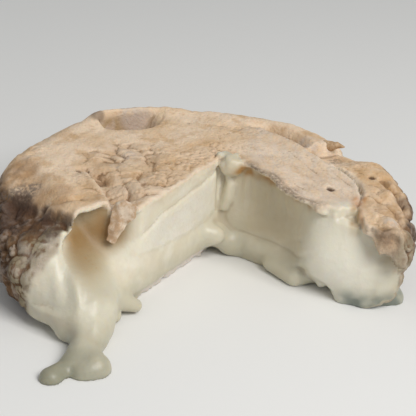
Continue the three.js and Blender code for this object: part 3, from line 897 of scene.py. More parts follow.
@dataclass
class CheeseForm:
    """The whole cheese as one field, below nought inside it."""

    wall: Wall = Wall()
    top: Top = Top()
    opening: Opening = Opening()
    ooze: Ooze = Ooze()
    shoulder: float = 7.0
    corner_blend: float = 6.0
    seed: int = 11

    def __post_init__(self) -> None:
        """Draws the noise that every form shares."""
        self.noise = Noise(self.seed)

    def parts(self, points: Array) -> Parts:
        """Works out the field and what it is made of.

        Args:
            points: Points from the wheel's axis, in millimetres, one a row.

        Returns:
            The field and its parts.
        """
        x, y, z = points.T
        noise = self.noise
        heading = np.degrees(np.arctan2(y, x))
        top = self.top.level(x, y, noise)
        swell = self.wall.swell_depth * noise.smooth(points, self.wall.swell_pitch)
        side = np.hypot(x, y) - self.wall.radius(z, heading, self.top.height) - swell
        slumped = self.top.slumped(x, y, noise)[1]
        below_top = (0.12 + 0.88 * rise(self.top.height - z, 3.0, 11.0)) * rise(side, -9.0, -3.0)
        knobby = rise(z, 0.0, 2.0) * np.maximum(below_top, 0.85 * slumped)
        whole = blend_max(side, z - top, self.shoulder) - self.wall.knobs(points, noise) * knobby
        corner = self.opening.corner(points)
        opening = self.opening.missing(points, top, noise)
        tear = -self.opening.gap(points, top, noise)
        body = blend_max(whole, corner, self.corner_blend)
        meeting = rise(corner, -5.0, -1.0) * rise(opening, -5.0, -1.0) * (1.0 - rise(z, 23.5, 26.0))
        body = blend_max(body, opening, self.opening.edge_rounding + self.opening.corner_rounding * meeting)
        body = blend_max(body, tear, 1.0)
        body = blend_max(body, -strand(points, self.opening.trough), self.opening.trough_blend)
        full = self.ooze.add_to(body, points, noise)
        return Parts(whole, np.maximum(opening, tear), corner, body, full, top, side, slumped)

    def value(self, points: Array) -> Array:
        """The cheese's field, with the table under it."""
        return np.maximum(self.parts(points).full, -points[:, 2])


# ------------------------------------------------------------------------------------ meshes


class Skin:
    """A mesh's points as arrays, in millimetres from the wheel's axis."""

    def __init__(self, mesh: bpy.types.Mesh) -> None:
        """Reads which points the mesh's edges join.

        Args:
            mesh: The mesh that the arrays belong to.
        """
        self.mesh = mesh
        self.count = len(mesh.vertices)
        edges = np.empty(2 * len(mesh.edges), np.int32)
        mesh.edges.foreach_get("vertices", edges)
        self.starts, self.ends = edges.reshape(-1, 2).T
        joined = np.bincount(edges, minlength=self.count)
        self.joined = np.maximum(joined, 1)

    def points(self) -> Array:
        """Reads the mesh's points.

        Returns:
            Their places, one a row.
        """
        flat = np.empty(3 * self.count, np.float32)
        self.mesh.vertices.foreach_get("co", flat)
        return flat.reshape(-1, 3).astype(float) / MM - (*WHEEL_AXIS, 0.0)

    def move_to(self, points: Array) -> None:
        """Puts the mesh's points at new places.

        Args:
            points: The places, one a row.
        """
        flat = ((points + (*WHEEL_AXIS, 0.0)) * MM).astype(np.float32).ravel()
        self.mesh.vertices.foreach_set("co", flat)
        self.mesh.update()

    def normals(self) -> Array:
        """Reads the mesh's normals.

        Returns:
            Outward direction at each point, one a row.
        """
        flat = np.empty(3 * self.count, np.float32)
        self.mesh.vertex_normals.foreach_get("vector", flat)
        return flat.reshape(-1, 3)

    def spread(self, values: Array, rounds: int = 1) -> Array:
        """Averages values over each point's neighbours.

        Args:
            values: One number, or one row of numbers, for each point.
            rounds: How often the averaging is repeated.

        Returns:
            The averaged values.
        """
        if values.ndim > 1:
            return np.stack([self.spread(column, rounds) for column in values.T], axis=1)
        for _ in range(rounds):
            total = np.bincount(self.starts, values[self.ends], self.count)
            total += np.bincount(self.ends, values[self.starts], self.count)
            values = total / self.joined
        return values

    def hollowness(self, rounds: int) -> Array:
        """How far the skin lies below its own average, in millimetres: above nought in hollows."""
        points = self.points()
        return ((self.spread(points, rounds) - points) * self.normals()).sum(axis=1)

    def store(self, name: str, values: Array) -> None:
        """Keeps one number for each point as an attribute that finishes read by name."""
        layer = self.mesh.attributes.new(name, "FLOAT", "POINT")
        layer.data.foreach_set("value", np.clip(values, 0.0, 1.0).astype(np.float32))


def in_frame(place: Point) -> Vector:
    """Place from the wheel's axis, set in the frame, in millimetres."""
    return Vector(place) + Vector((*WHEEL_AXIS, 0.0))


def remesh(piece: bpy.types.Object, voxel: float) -> None:
    """Covers a closed piece with even quads.

    Args:
        piece: The piece, whose mesh is replaced.
        voxel: Size of the quads, in millimetres.
    """
    modifier = piece.modifiers.new("even quads", "REMESH")
    modifier.mode = "VOXEL"
    modifier.voxel_size = voxel * MM
    modifier.use_smooth_shade = True
    shaped = piece.evaluated_get(bpy.context.evaluated_depsgraph_get())
    mesh = bpy.data.meshes.new_from_object(shaped)
    piece.modifiers.clear()
    old = piece.data
    piece.data = mesh
    bpy.data.meshes.remove(old)


def settle(skin: Skin, value_at: Callable[[Array], Array], rounds: int) -> None:
    """Moves a skin along its normals onto a form, and evens out its quads.

    Args:
        skin: The skin to move.
        value_at: The form's field, below nought inside it.
        rounds: How often the skin is moved.
    """
    probe, furthest = 0.15, 0.5  # millimetres
    least_slope, most_slope = 0.6, 6.0
    eagerness, evening = 0.9, 0.35  # shares of the whole move in one round
    for _ in range(rounds):
        points, normals = skin.points(), skin.normals()
        value = value_at(points)
        slope = np.clip((value_at(points + probe * normals) - value) / probe, least_slope, most_slope)
        step = np.clip(eagerness * value / slope, -furthest, furthest)
        drift = skin.spread(points) - points
        drift -= (drift * normals).sum(axis=1, keepdims=True) * normals
        points = points - step[:, None] * normals + evening * drift
        points[:, 2] = np.maximum(points[:, 2], 0.0)
        skin.move_to(points)
    log.info("skin settled to within %.3f mm on average", np.abs(step).mean())


@dataclass(frozen=True)
class Patch:
    """A round stain, mould patch or patch of painted shade on the skin, in millimetres from the wheel's axis.
    """

    x: float
    y: float
    z: float
    radius: float
    strength: float = 1.0


@dataclass(frozen=True)
class Stains:
    """Where each kind of stain lies on the skin, and where some brown and tawny patches paint shade."""

    pale: tuple[Patch, ...] = (
        Patch(-23.0, 43.8, 28.0, 5.2, 1.1),
        Patch(-22.0, 30.0, 29.6, 2.6, 0.5),
        Patch(-21.1, 13.5, 29.5, 2.6, 0.8),
        Patch(-24.2, 6.1, 29.3, 2.6, 0.7),
        Patch(49.4, -11.6, 25.8, 3.0, 1.3),
        Patch(-35.3, -30.4, 23.0, 4.6, 0.5),
        Patch(-40.0, -33.0, 17.0, 5.5, 0.35),
        Patch(-41.0, -35.0, 12.0, 5.0, 0.3),
        Patch(29.5, 33.5, 26.8, 3.6, 0.9),
        Patch(33.5, 32.0, 26.8, 3.2, 1.0),
    )
    slate: tuple[Patch, ...] = (
        Patch(-48.4, -10.5, 24.7, 5.0),
        Patch(-53.0, -9.4, 22.0, 6.5, 0.9),
        Patch(-44.9, -7.9, 27.6, 2.4, 0.8),
        Patch(-50.6, -15.5, 19.0, 7.5, 0.8),
        Patch(-38.4, -26.5, 24.7, 3.6, 0.7),
        Patch(55.0, -6.0, 18.0, 7.0, 0.7),
        Patch(13.0, 10.5, 28.6, 1.6, 0.7),
        Patch(24.0, 0.0, 28.4, 2.0, 0.6),
        Patch(37.0, 28.5, 26.5, 2.6, 0.8),
    )
    # brown stains, with painted shade: dark in the pits and dents, over the shaded left wall and under the
    # far piece
    brown: tuple[Patch, ...] = (
        Patch(-48.6, -11.0, 24.0, 4.0, 0.7),
        Patch(-50.0, -14.5, 21.6, 7.0, 0.7),
        Patch(-45.0, -14.8, 24.0, 2.0),
        Patch(-41.6, -16.2, 25.0, 1.8),
        Patch(-39.4, -20.8, 25.4, 2.6, 0.7),
        Patch(-42.0, -22.0, 22.0, 4.5, 0.6),
        Patch(-37.4, -26.2, 23.4, 2.6, 0.6),
        Patch(-34.8, -24.6, 26.4, 2.4, 0.7),
        # painted shade under the far piece's overhang
        Patch(47.3, -16.7, 24.4, 2.8, 0.45),
        Patch(-34.0, 1.4, 28.0, 1.5, 0.9),
        Patch(-28.4, -1.7, 27.0, 1.4, 0.7),
        Patch(34.3, 5.6, 26.0, 1.3, 1.4),
        Patch(46.6, 15.9, 26.0, 1.0, 1.1),
        Patch(-33.0, 36.6, 31.2, 2.6, 0.7),
        Patch(-32.0, 40.5, 28.0, 2.4, 0.6),
        Patch(54.5, 4.0, 24.0, 3.5, 0.5),
    )
    golden: tuple[Patch, ...] = (
        Patch(-33.0, -14.0, 28.5, 8.0, 0.6),
        Patch(-3.0, 15.0, 29.3, 12.0, 0.6),
        Patch(46.5, 2.0, 26.0, 8.0, 0.6),
        Patch(47.0, 14.0, 26.0, 7.0, 0.5),
    )
    tawny: tuple[Patch, ...] = (
        Patch(-49.5, 1.5, 28.0, 4.5, 0.9),
        Patch(-53.5, -1.5, 25.0, 5.5, 0.9),
        Patch(-45.5, -5.5, 28.0, 4.5, 0.6),
        Patch(-43.0, -12.0, 26.5, 4.0, 0.8),
        Patch(-37.5, -18.5, 27.0, 3.5, 0.7),
        Patch(-37.7, -12.2, 29.0, 3.5, 0.6),
        # painted shadow under the flap's upper edge
        Patch(-29.9, 0.0, 27.6, 3.2, 0.7),
        # painted shade under the far piece's overhang
        Patch(47.5, -16.5, 24.0, 3.6, 1.0),
        Patch(51.5, 12.0, 25.0, 4.5, 0.6),
        Patch(42.3, 1.0, 25.5, 2.4, 0.8),
        Patch(41.7, -4.0, 25.0, 2.6),
        Patch(40.9, -9.0, 24.0, 2.6),
        Patch(49.5, -4.0, 25.0, 5.0, 0.6),
    )

    border: Reach = (0.55, 1.25)
    wander: float = 0.35
    brown_wander: float = 0.5

    def mask(self, points: Array, patches: tuple[Patch, ...], ragged: Array) -> Array:
        """How strongly each point is stained.

        Args:
            points: The skin's points, one a row.
            patches: The patches of one kind of stain.
            ragged: Noise that makes their borders ragged.

        Returns:
            The strengths.
        """
        total = np.zeros(len(points))
        for patch in patches:
            gap = np.linalg.norm(points - (patch.x, patch.y, patch.z), axis=1) / patch.radius
            total += patch.strength * (1.0 - rise(gap + self.wander * ragged, *self.border))
        return total

    def masks(self, points: Array, broad: Array, ragged: Array) -> dict[str, Array]:
        """Masks of every kind of stain.

        Args:
            points: The skin's points, one a row.
            broad: Noise that shifts the borders of the large stains.
            ragged: Noise that shifts the borders of the brown ones.

        Returns:
            The masks by name.
        """
        return {
            "pale": self.mask(points, self.pale, broad),
            "slate": self.mask(points, self.slate, broad),
            "golden": self.mask(points, self.golden, broad),
            "tawny": self.mask(points, self.tawny, broad),
            "brown": self.mask(points, self.brown, self.brown_wander * ragged),
        }


@dataclass(frozen=True)
class Cheese:
    """The whole cheese as one fine skin over its form, with the masks that its finishes read."""

    form: CheeseForm = field(default_factory=CheeseForm)
    stains: Stains = Stains()
    node: str = "cheese_wheel"
    coarse_voxel: float = 1.0
    fine_voxel: float = 0.54
    quick_voxel: float = 0.8
    first_rounds: int = 6
    later_rounds: int = 4
    doubles: float = 1e-6
    tip_place: tuple[float, float] = (35.0, 33.2)
    tip_reach: float = 6.0
    tip_sunk: float = 0.5
    plug_place: Point = (35.8, 31.0, 23.0)
    plug_radius: float = 3.8
    plug_subdivisions: int = 3
    flat_level: float = 1e-6
    thinnings: int = 4
    ragged_shift: float = 140.0
    ragged_pitch: float = 4.0
    broad_shift: float = 210.0
    broad_pitch: float = 13.0
    layers: int = 2
    flap_end: Spot = Spot((-34.8, -24.4, 26.8), 2.4)
    # the gap beside the button, painted amber as glow and shade
    button_rim: Spot = Spot((11.4, 12.6, 27.6), 2.0)
    button: Spot = Spot((6.6, 14.8, 29.0), 4.5)
    shaded_spill: Spot = Spot((-27.5, -34.5, 10.5), 10.0)
    shaded_vertex: Spot = Spot((1.5, 9.0, 8.2), 6.0)
    # painted light: a paler wash over the far lobe and part of the spill
    lit_lobe: Spot = Spot((37.0, -10.0, 10.0), 10.0)
    lit_spill: Spot = Spot((-37.0, -35.0, 11.0), 7.0)
    hollow_rounds: tuple[int, int, int] = (2, 12, 60)

    def build(self) -> bpy.types.Object:
        """Makes the skin, shapes it onto the form and paints its masks.

        Returns:
            The finished piece, without its material.
        """
        piece = bpy.data.objects.new("cheese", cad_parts[self.node].data.copy())
        bpy.context.scene.collection.objects.link(piece)
        shape = bmesh.new()
        shape.from_mesh(piece.data)
        bmesh.ops.remove_doubles(shape, verts=shape.verts, dist=self.doubles)
        middle = Matrix.Translation(in_frame(self.plug_place) * MM)
        bmesh.ops.create_icosphere(
            shape, subdivisions=self.plug_subdivisions, radius=self.plug_radius * MM, matrix=middle)
        shape.to_mesh(piece.data)
        shape.free()
        self.press_tip(Skin(piece.data))
        last_voxel = self.fine_voxel
        stages = (
            (self.coarse_voxel, self.first_rounds),
            (self.coarse_voxel, self.later_rounds),
            (last_voxel, self.later_rounds),
        )
        for voxel, rounds in stages:
            remesh(piece, voxel)
            settle(Skin(piece.data), self.form.value, rounds)
        self.thin_underside(piece.data)
        self.paint(Skin(piece.data))
        return piece

    def press_tip(self, skin: Skin) -> None:
        """Presses the rim's torn tip flat, as it is made as a piece of its own.

        Args:
            skin: The skin of the wheel's solid.
        """
        points = skin.points()
        x, y, z = points.T
        near = np.hypot(x - self.tip_place[0], y - self.tip_place[1]) < self.tip_reach
        level = self.form.top.level(x, y, self.form.noise) - self.tip_sunk
        points[:, 2] = np.where(near, np.minimum(z, level), z)
        skin.move_to(points)

    def thin_underside(self, mesh: bpy.types.Mesh) -> None:
        """Makes the flat underside's quads larger, as nothing is carved there.

        Args:
            mesh: The skin's mesh.
        """
        shape = bmesh.new()
        shape.from_mesh(mesh)
        flat = [
            vert for vert in shape.verts
            if all(v.co.z < self.flat_level for face in vert.link_faces for v in face.verts)
        ]
        bmesh.ops.unsubdivide(shape, verts=flat, iterations=self.thinnings)
        shape.to_mesh(mesh)
        shape.free()

    def paint(self, skin: Skin) -> None:
        """Works out every mask of the skin and stores it by name.

        Args:
            skin: The finished skin.
        """
        points = skin.points()
        parts = self.form.parts(points)
        noise, opening = self.form.noise, self.form.opening
        x, y, z = points.T
        ragged = noise.layered(points + self.ragged_shift, self.ragged_pitch, self.layers)
        broad = noise.layered(points + self.broad_shift, self.broad_pitch, self.layers)
        depth = -parts.whole / self.form.top.steepness(x, y, noise)
        runny = rise(parts.body - parts.full, 0.15, 0.7)
        heading = np.degrees(np.arctan2(y, x))
        _, past_corner = off_path(x, y, opening.crust_edge)
        crusted = rise(past_corner + 0.8 * ragged, -0.5, 0.7) * rise(depth, 0.4, 1.2)
        crusted *= rise(parts.side, -13.0, -9.0)
        beneath = (1.0 - rise(z, 0.05, 0.4)) * rise(-parts.cut, 0.4, 1.0)
        right_along, right_behind = opening.right.place(x, y, opening.vertex)
        right_lip = run(opening.right.lip, right_along)
        hanging = np.maximum(rise(right_along, 50.0, 53.0), 0.92 * rise(right_along, 31.0, 35.0))
        hanging = hanging * (1.0 - rise(parts.top - z + 0.5 * ragged, right_lip - 0.6, right_lip + 0.6))
        rind = 1.0 - rise(depth + 0.3 * ragged, 0.45, 0.95)
        flap_end = self.flap_end.at(points)
        uncut = 1.0 - rise(np.maximum(parts.cut, opening.corner(points)), -2.6, -1.4)
        covers = [rind, crusted, beneath, hanging, uncut, rise(flap_end, 0.3, 0.5)]
        rind = np.maximum.reduce(covers) * (1.0 - runny)
        paste = 1.0 - rind
        wall = rise(parts.side - (z - self.form.top.height) + 2.5 * broad + 2.2 * ragged, 1.0, 6.0)
        wall = np.maximum(np.maximum(wall, parts.slumped), crusted)
        near_cut = rise(np.maximum(parts.cut, opening.corner(points)) + 3.0 * broad, -9.0, -1.5)
        left_along, left_behind = opening.left.place(x, y, opening.vertex)
        on_left = 1.0 - rise(left_behind, 0.0, 14.0)
        by_right = 1.0 - rise(right_behind, 0.0, 14.0)
        nearer_left = rise(left_behind - right_behind, -2.0, 2.0)
        nearer_right = 1.0 - nearer_left
        crease = run(opening.crease, left_along)
        floor = run(opening.core_floor, left_along)
        core = rise(z + 0.8 * ragged, floor - 1.0, floor + 1.2) * (1.0 - rise(z, crease - 2.4, crease + 0.4))
        core *= nearer_left * on_left * rise(left_along, 3.0, 7.0) * (1.0 - rise(left_along, 32.0, 41.0))
        left_lip = run(opening.left.lip, left_along)
        below_lip = rise(parts.top - z, left_lip - 0.1, left_lip + 0.7)
        down_hollow = left_along + 0.9 * (z - 22.0)
        in_hollow = nearer_left * rise(down_hollow, 38.0, 44.0) * (1.0 - rise(down_hollow, 52.0, 59.0))
        in_hollow = in_hollow * below_lip * rise(left_along, 41.0, 44.5)
        flap_hollow = in_hollow * rise(z, 10.0, 18.0)
        right_hollow = nearer_right * by_right * bell((right_along - 16.0) / 11.0) * rise(z, 6.0, 12.0)
        far_hollow = nearer_right * rise(right_along, 50.0, 55.0) * rise(z, 9.0, 17.0)
        tear = 1.0 - rise(off_path(x, y, opening.tear)[0], 0.8, 2.4)
        # glow: amber under the rind as painted glow through the thin rind, with painted shade under the lips,
        # in the tear and in the gaps by the curl and the button
        under_rind = bell((depth - 1.6) / 1.1)
        under_lip = bell((depth - 2.4) / 1.4) * nearer_right * by_right
        glow = under_rind * (0.15 + 0.45 * flap_hollow + 0.3 * far_hollow)
        glow += 0.9 * under_lip * span(right_along, 5.0, 32.0, 2.5)
        strip = nearer_left * bell((left_along - 45.0) / 1.5) * rise(z, 17.5, 21.5)
        by_button = self.button_rim.at(points)
        in_tear = tear * rise(z + ragged, 22.8, 25.6) * span(y, -11.5, 3.0, 2.5)
        below_far = bell((parts.top - z - right_lip - 0.6) / 1.1) * nearer_right
        below_far = below_far * rise(right_along, 46.0, 49.0)
        glow = paste * (glow + in_tear + 0.75 * below_far + 0.7 * strip + 1.1 * by_button)
        glow *= 0.75 + 0.6 * ragged
        # painted shade high in the hollow under the flap
        deep = paste * in_hollow * rise(z, 13.0, 21.0) * (1.0 - 0.7 * rise(z, 21.5, 25.5))
        button = self.button.at(points) * (1.0 - by_button)
        # partly riper olive paste and a duller button, partly painted shade in the hollows and the tear
        ripe = flap_hollow + 0.85 * right_hollow + 0.9 * far_hollow
        ripe = paste * (ripe + 0.5 * tear * rise(z, 20.0, 22.0) + 0.4 * button)
        far_side = bell(np.hypot(x - 38.0, y + 6.0) / 9.0)
        # painted shade: darker low down by the floor, on the spill, at the front foot and at the vertex's
        # foot, but less on the far lobe
        low = (1.0 - rise(z + 2.0 * ragged, 3.0, 15.0)) * (1.0 - 0.8 * far_side)
        low = np.maximum(low, 0.85 * self.shaded_spill.at(points))
        low = np.maximum(low, rise(-y, 43.0, 50.0))
        low = np.maximum(low, self.shaded_vertex.at(points))
        # painted light: a paler wash over the far lobe and part of the spill
        lit_wash = self.lit_lobe.at(points)
        lit_wash = np.maximum(lit_wash, 0.25 * self.lit_spill.at(points))
        top = self.form.top
        ragged_flat = top.ragged(laid(x, y), noise)
        in_pocket = top.pocket(x, y, ragged_flat)[1] * (1.0 - rise(z, 28.8, 30.6))
        in_groove = top.groove(x, y, heading, ragged_flat)[1] * (1.0 - rise(z, 26.6, 28.6))
        far_edge = nearer_right * rise(right_along, 49.0, 53.0)
        by_lip = span(right_along, 6.0, 35.0, 3.0) * by_right * nearer_right
        near_edge = rind * rise(parts.cut + 0.3 * ragged, -1.3, -0.1) * (1.0 - 0.8 * far_edge)
        near_edge *= 1.0 - 0.75 * span(right_along, 6.0, 48.0, 3.0) * by_right * nearer_right
        frayed = rind * rise(parts.cut + 0.8 * ragged, -3.4, -0.6) * by_lip
        frayed = np.maximum(frayed, 0.5 * far_edge * rind * rise(parts.cut + 1.5 * ragged, -7.0, -1.5))
        _, beside_flap = off_path(x, y, top.flap_edge)
        lip = rind * bell((beside_flap + 0.6) / 0.8) * span(y, -20.0, 2.0, 2.0) * rise(z, 22.0, 25.0)
        # the thin foot by the floor turns blue-grey, darkened partly as painted shade at its edge
        foot = (1.0 - rise(z, 2.0, 7.5)) * paste
        blue = foot * (rise(x, 35.0, 41.0) + 0.3 * (1.0 - rise(y, -44.0, -38.0)))
        fine, wide, broadest = (skin.hollowness(rounds) for rounds in self.hollow_rounds)
        _, joint, mat_print = top.cobbles(x, y, noise)
        past_tongue = -off_path(x, y, TONGUE_EDGE)[1]
        # how hollow and how proud the skin is: the finishes darken hollows as painted shade and lighten
        # ridges partly as painted light
        cavity = 0.55 * rise(fine, 0.01, 0.13) + 0.45 * rise(wide, 0.06, 0.5)
        masks = {
            "rind": rind,
            "wall": wall,
            "runny": np.maximum(runny, paste * rise(right_along + 2.0 * broad, 22.0, 38.0) * nearer_right),
            "crust": near_cut * wall,
            "core": core * paste,
            "glow": glow,
            "ripe": ripe,
            "edge": np.maximum(near_edge, lip),
            "deep": deep,
            "tear": in_tear,
            "frayed": frayed,
            "floury": rise(x, 8.0, 15.0) * (1.0 - rise(past_tongue, -0.5, 0.8)),
            "low": low * paste,
            "lit_wash": lit_wash * paste,
            "toe": rise(-y + 1.5 * ragged, 47.0, 54.0) * (1.0 - 0.65 * rise(x, -31.0, -26.0)) * paste,
            "scallop": paste * nearer_left * (1.0 - rise(z, 2.0, 4.5)) * span(left_along, 4.0, 36.0, 3.0),
            "blue": blue * (0.45 + 0.55 * rise(ragged, -0.9, 0.3)),
            "sunken": np.maximum(in_pocket, 0.7 * in_groove),
            "joint": joint * rise(z, 22.0, 25.0),
            "print": mat_print * rise(z, 22.0, 25.0),
            "far": rise(past_tongue, 0.0, 1.5) * (1.0 - rise(heading, 28.0, 36.0)) * rise(z, 14.0, 20.0),
            "cavity": cavity + 0.5 * rise(broadest, 0.15, 1.6),
            "ridge": 0.6 * rise(-fine, 0.01, 0.12) + 0.5 * rise(-wide, 0.1, 0.6),
            **self.stains.masks(points, broad, ragged),
        }
        for name, values in masks.items():
            skin.store(name, values)


@dataclass(frozen=True)
class RindCurl:
    """The curl of rind that hangs from the notch of the cut edge, one row of three places after another."""

    rows: tuple[tuple[Point, Point, Point], ...] = (
        ((-22.8, -17.6, 29.4), (-21.0, -18.2, 31.2), (-16.4, -20.4, 29.4)),
        ((-23.6, -19.6, 27.9), (-21.2, -20.4, 28.8), (-16.8, -20.4, 27.2)),
        ((-24.0, -20.4, 25.0), (-21.6, -21.3, 25.8), (-19.0, -20.2, 24.6)),
        ((-24.4, -21.2, 22.4), (-22.4, -21.7, 22.9), (-20.6, -20.6, 21.8)),
        ((-24.4, -21.9, 20.2), (-23.2, -21.9, 19.3), (-22.4, -21.4, 19.0)),
    )
    cuts: int = 3
    smooth_rounds: int = 2
    smooth_share: float = 0.5
    thickness: float = 0.55
    crumple: float = 0.6
    crumple_pitch: float = 1.9
    seed: int = 3
    smoothing: int = 2

    def build(self) -> bpy.types.Object:
        """Makes the curl from a grid that is bent onto its rows and given a thickness.

        Returns:
            The finished piece, without its material.
        """
        shape = bmesh.new()
        last = len(self.rows) - 1
        bmesh.ops.create_grid(shape, x_segments=len(self.rows[0]) - 1, y_segments=last, size=1.0)
        for vert in shape.verts:
            column, row = round(vert.co.x + 1.0), round((1.0 - vert.co.y) / 2.0 * last)
            vert.co = in_frame(self.rows[row][column])
        bmesh.ops.subdivide_edges(shape, edges=shape.edges, cuts=self.cuts, use_grid_fill=True)
        axes = {"use_axis_x": True, "use_axis_y": True, "use_axis_z": True}
        for _ in range(self.smooth_rounds):
            bmesh.ops.smooth_vert(shape, verts=shape.verts, factor=self.smooth_share, **axes)
        places = np.array([vert.co for vert in shape.verts])
        shifts = [Noise(self.seed + axis).smooth(places, self.crumple_pitch) for axis in range(3)]
        for vert, shift in zip(shape.verts, np.stack(shifts, axis=1)):
            vert.co += self.crumple * Vector(shift)
        bmesh.ops.solidify(shape, geom=shape.faces, thickness=self.thickness)
        bmesh.ops.recalc_face_normals(shape, faces=shape.faces)
        bmesh.ops.scale(shape, vec=(MM, MM, MM), verts=shape.verts)
        return small_piece("rind_curl", shape, self.smoothing)


@dataclass(frozen=True)
class TornTip:
    """The upturned tip of rind at the torn end of the rim."""

    path: tuple[Knot, ...] = (
        (32.8, 34.6, 27.2, 1.7), (35.2, 33.1, 27.9, 1.6), (37.4, 31.7, 28.9, 1.0), (39.5, 30.6, 29.0, 0.25),
    )
    wrinkle: float = 0.16
    wrinkle_pitch: float = 1.8
    grain: float = 0.06
    grain_pitch: float = 0.7
    subdivisions: int = 5
    half_width: float = 1.4
    rounds: int = 10
    seed: int = 5

    def value(self, points: Array) -> Array:
        """Field of the tip."""
        noise = Noise(self.seed)
        rough = self.wrinkle * noise.smooth(points, self.wrinkle_pitch)
        return strand(points, self.path) + rough + self.grain * noise.smooth(points, self.grain_pitch)

    def build(self) -> bpy.types.Object:
        """Makes the tip from a ball that is drawn out and settled onto its field.

        Returns:
            The finished piece, without its material.
        """
        shape = bmesh.new()
        bmesh.ops.create_icosphere(shape, subdivisions=self.subdivisions, radius=1.0)
        start, end = in_frame(self.path[0][:3]), in_frame(self.path[-1][:3])
        turn = (end - start).to_track_quat("X", "Z").to_matrix()
        stretch = ((end - start).length / 2.0, self.half_width, self.half_width)
        bmesh.ops.scale(shape, vec=stretch, verts=shape.verts)
        bmesh.ops.rotate(shape, cent=(0.0, 0.0, 0.0), matrix=turn, verts=shape.verts)
        bmesh.ops.translate(shape, vec=(start + end) / 2.0, verts=shape.verts)
        bmesh.ops.scale(shape, vec=(MM, MM, MM), verts=shape.verts)
        piece = small_piece("torn_tip", shape, 0)
        settle(Skin(piece.data), self.value, self.rounds)
        return piece


def small_piece(name: str, shape: bmesh.types.BMesh, smoothing: int) -> bpy.types.Object:
    """Turns a shape into a smooth-shaded piece.

    Args:
        name: The piece's name.
        shape: Its shape in metres, which is freed.
        smoothing: Levels of subdivision that finish it.

    Returns:
        The piece, linked to the scene.
    """
    for face in shape.faces:
        face.smooth = True
    mesh = bpy.data.meshes.new(name)
    shape.to_mesh(mesh)
    shape.free()
    piece = bpy.data.objects.new(name, mesh)
    bpy.context.scene.collection.objects.link(piece)
    if smoothing:
        modifier = piece.modifiers.new("smooth", "SUBSURF")
        modifier.levels = smoothing
        modifier.render_levels = smoothing
    return piece


# ------------------------------------------------------------------------------------ finishes


def linear(code: int) -> tuple[float, float, float, float]:
    """Linear colour with alpha, from a screen colour written as 0xRRGGBB."""
    shares = ((code >> 16 & 255) / 255.0, (code >> 8 & 255) / 255.0, (code & 255) / 255.0)
    return (*(s / 12.92 if s <= 0.04045 else ((s + 0.055) / 1.055) ** 2.4 for s in shares), 1.0)


class Wire:
    """A socket of a shader, so that its maths is written as an expression."""

    def __init__(self, graph: "Graph", socket: bpy.types.NodeSocket) -> None:
        """Wraps one output socket.

        Args:
            graph: The graph that the socket belongs to.
            socket: The socket.
        """
        self.graph = graph
        self.socket = socket

    def __add__(self, other: "Wire | float") -> "Wire":
        """Sum of two values."""
        return self.graph.maths("ADD", self, other)

    def __sub__(self, other: "Wire | float") -> "Wire":
        """First value less the second."""
        return self.graph.maths("SUBTRACT", self, other)

    def __rsub__(self, other: float) -> "Wire":
        """A number less this value."""
        return self.graph.maths("SUBTRACT", other, self)

    def __mul__(self, other: "Wire | float") -> "Wire":
        """Product of two values."""
        return self.graph.maths("MULTIPLY", self, other)

    __radd__ = __add__
    __rmul__ = __mul__


@dataclass(frozen=True)
class Tint:
    """A colour laid over the others where a mask of the skin is, and how strongly it covers them."""

    mask: str
    share: float
    color: int


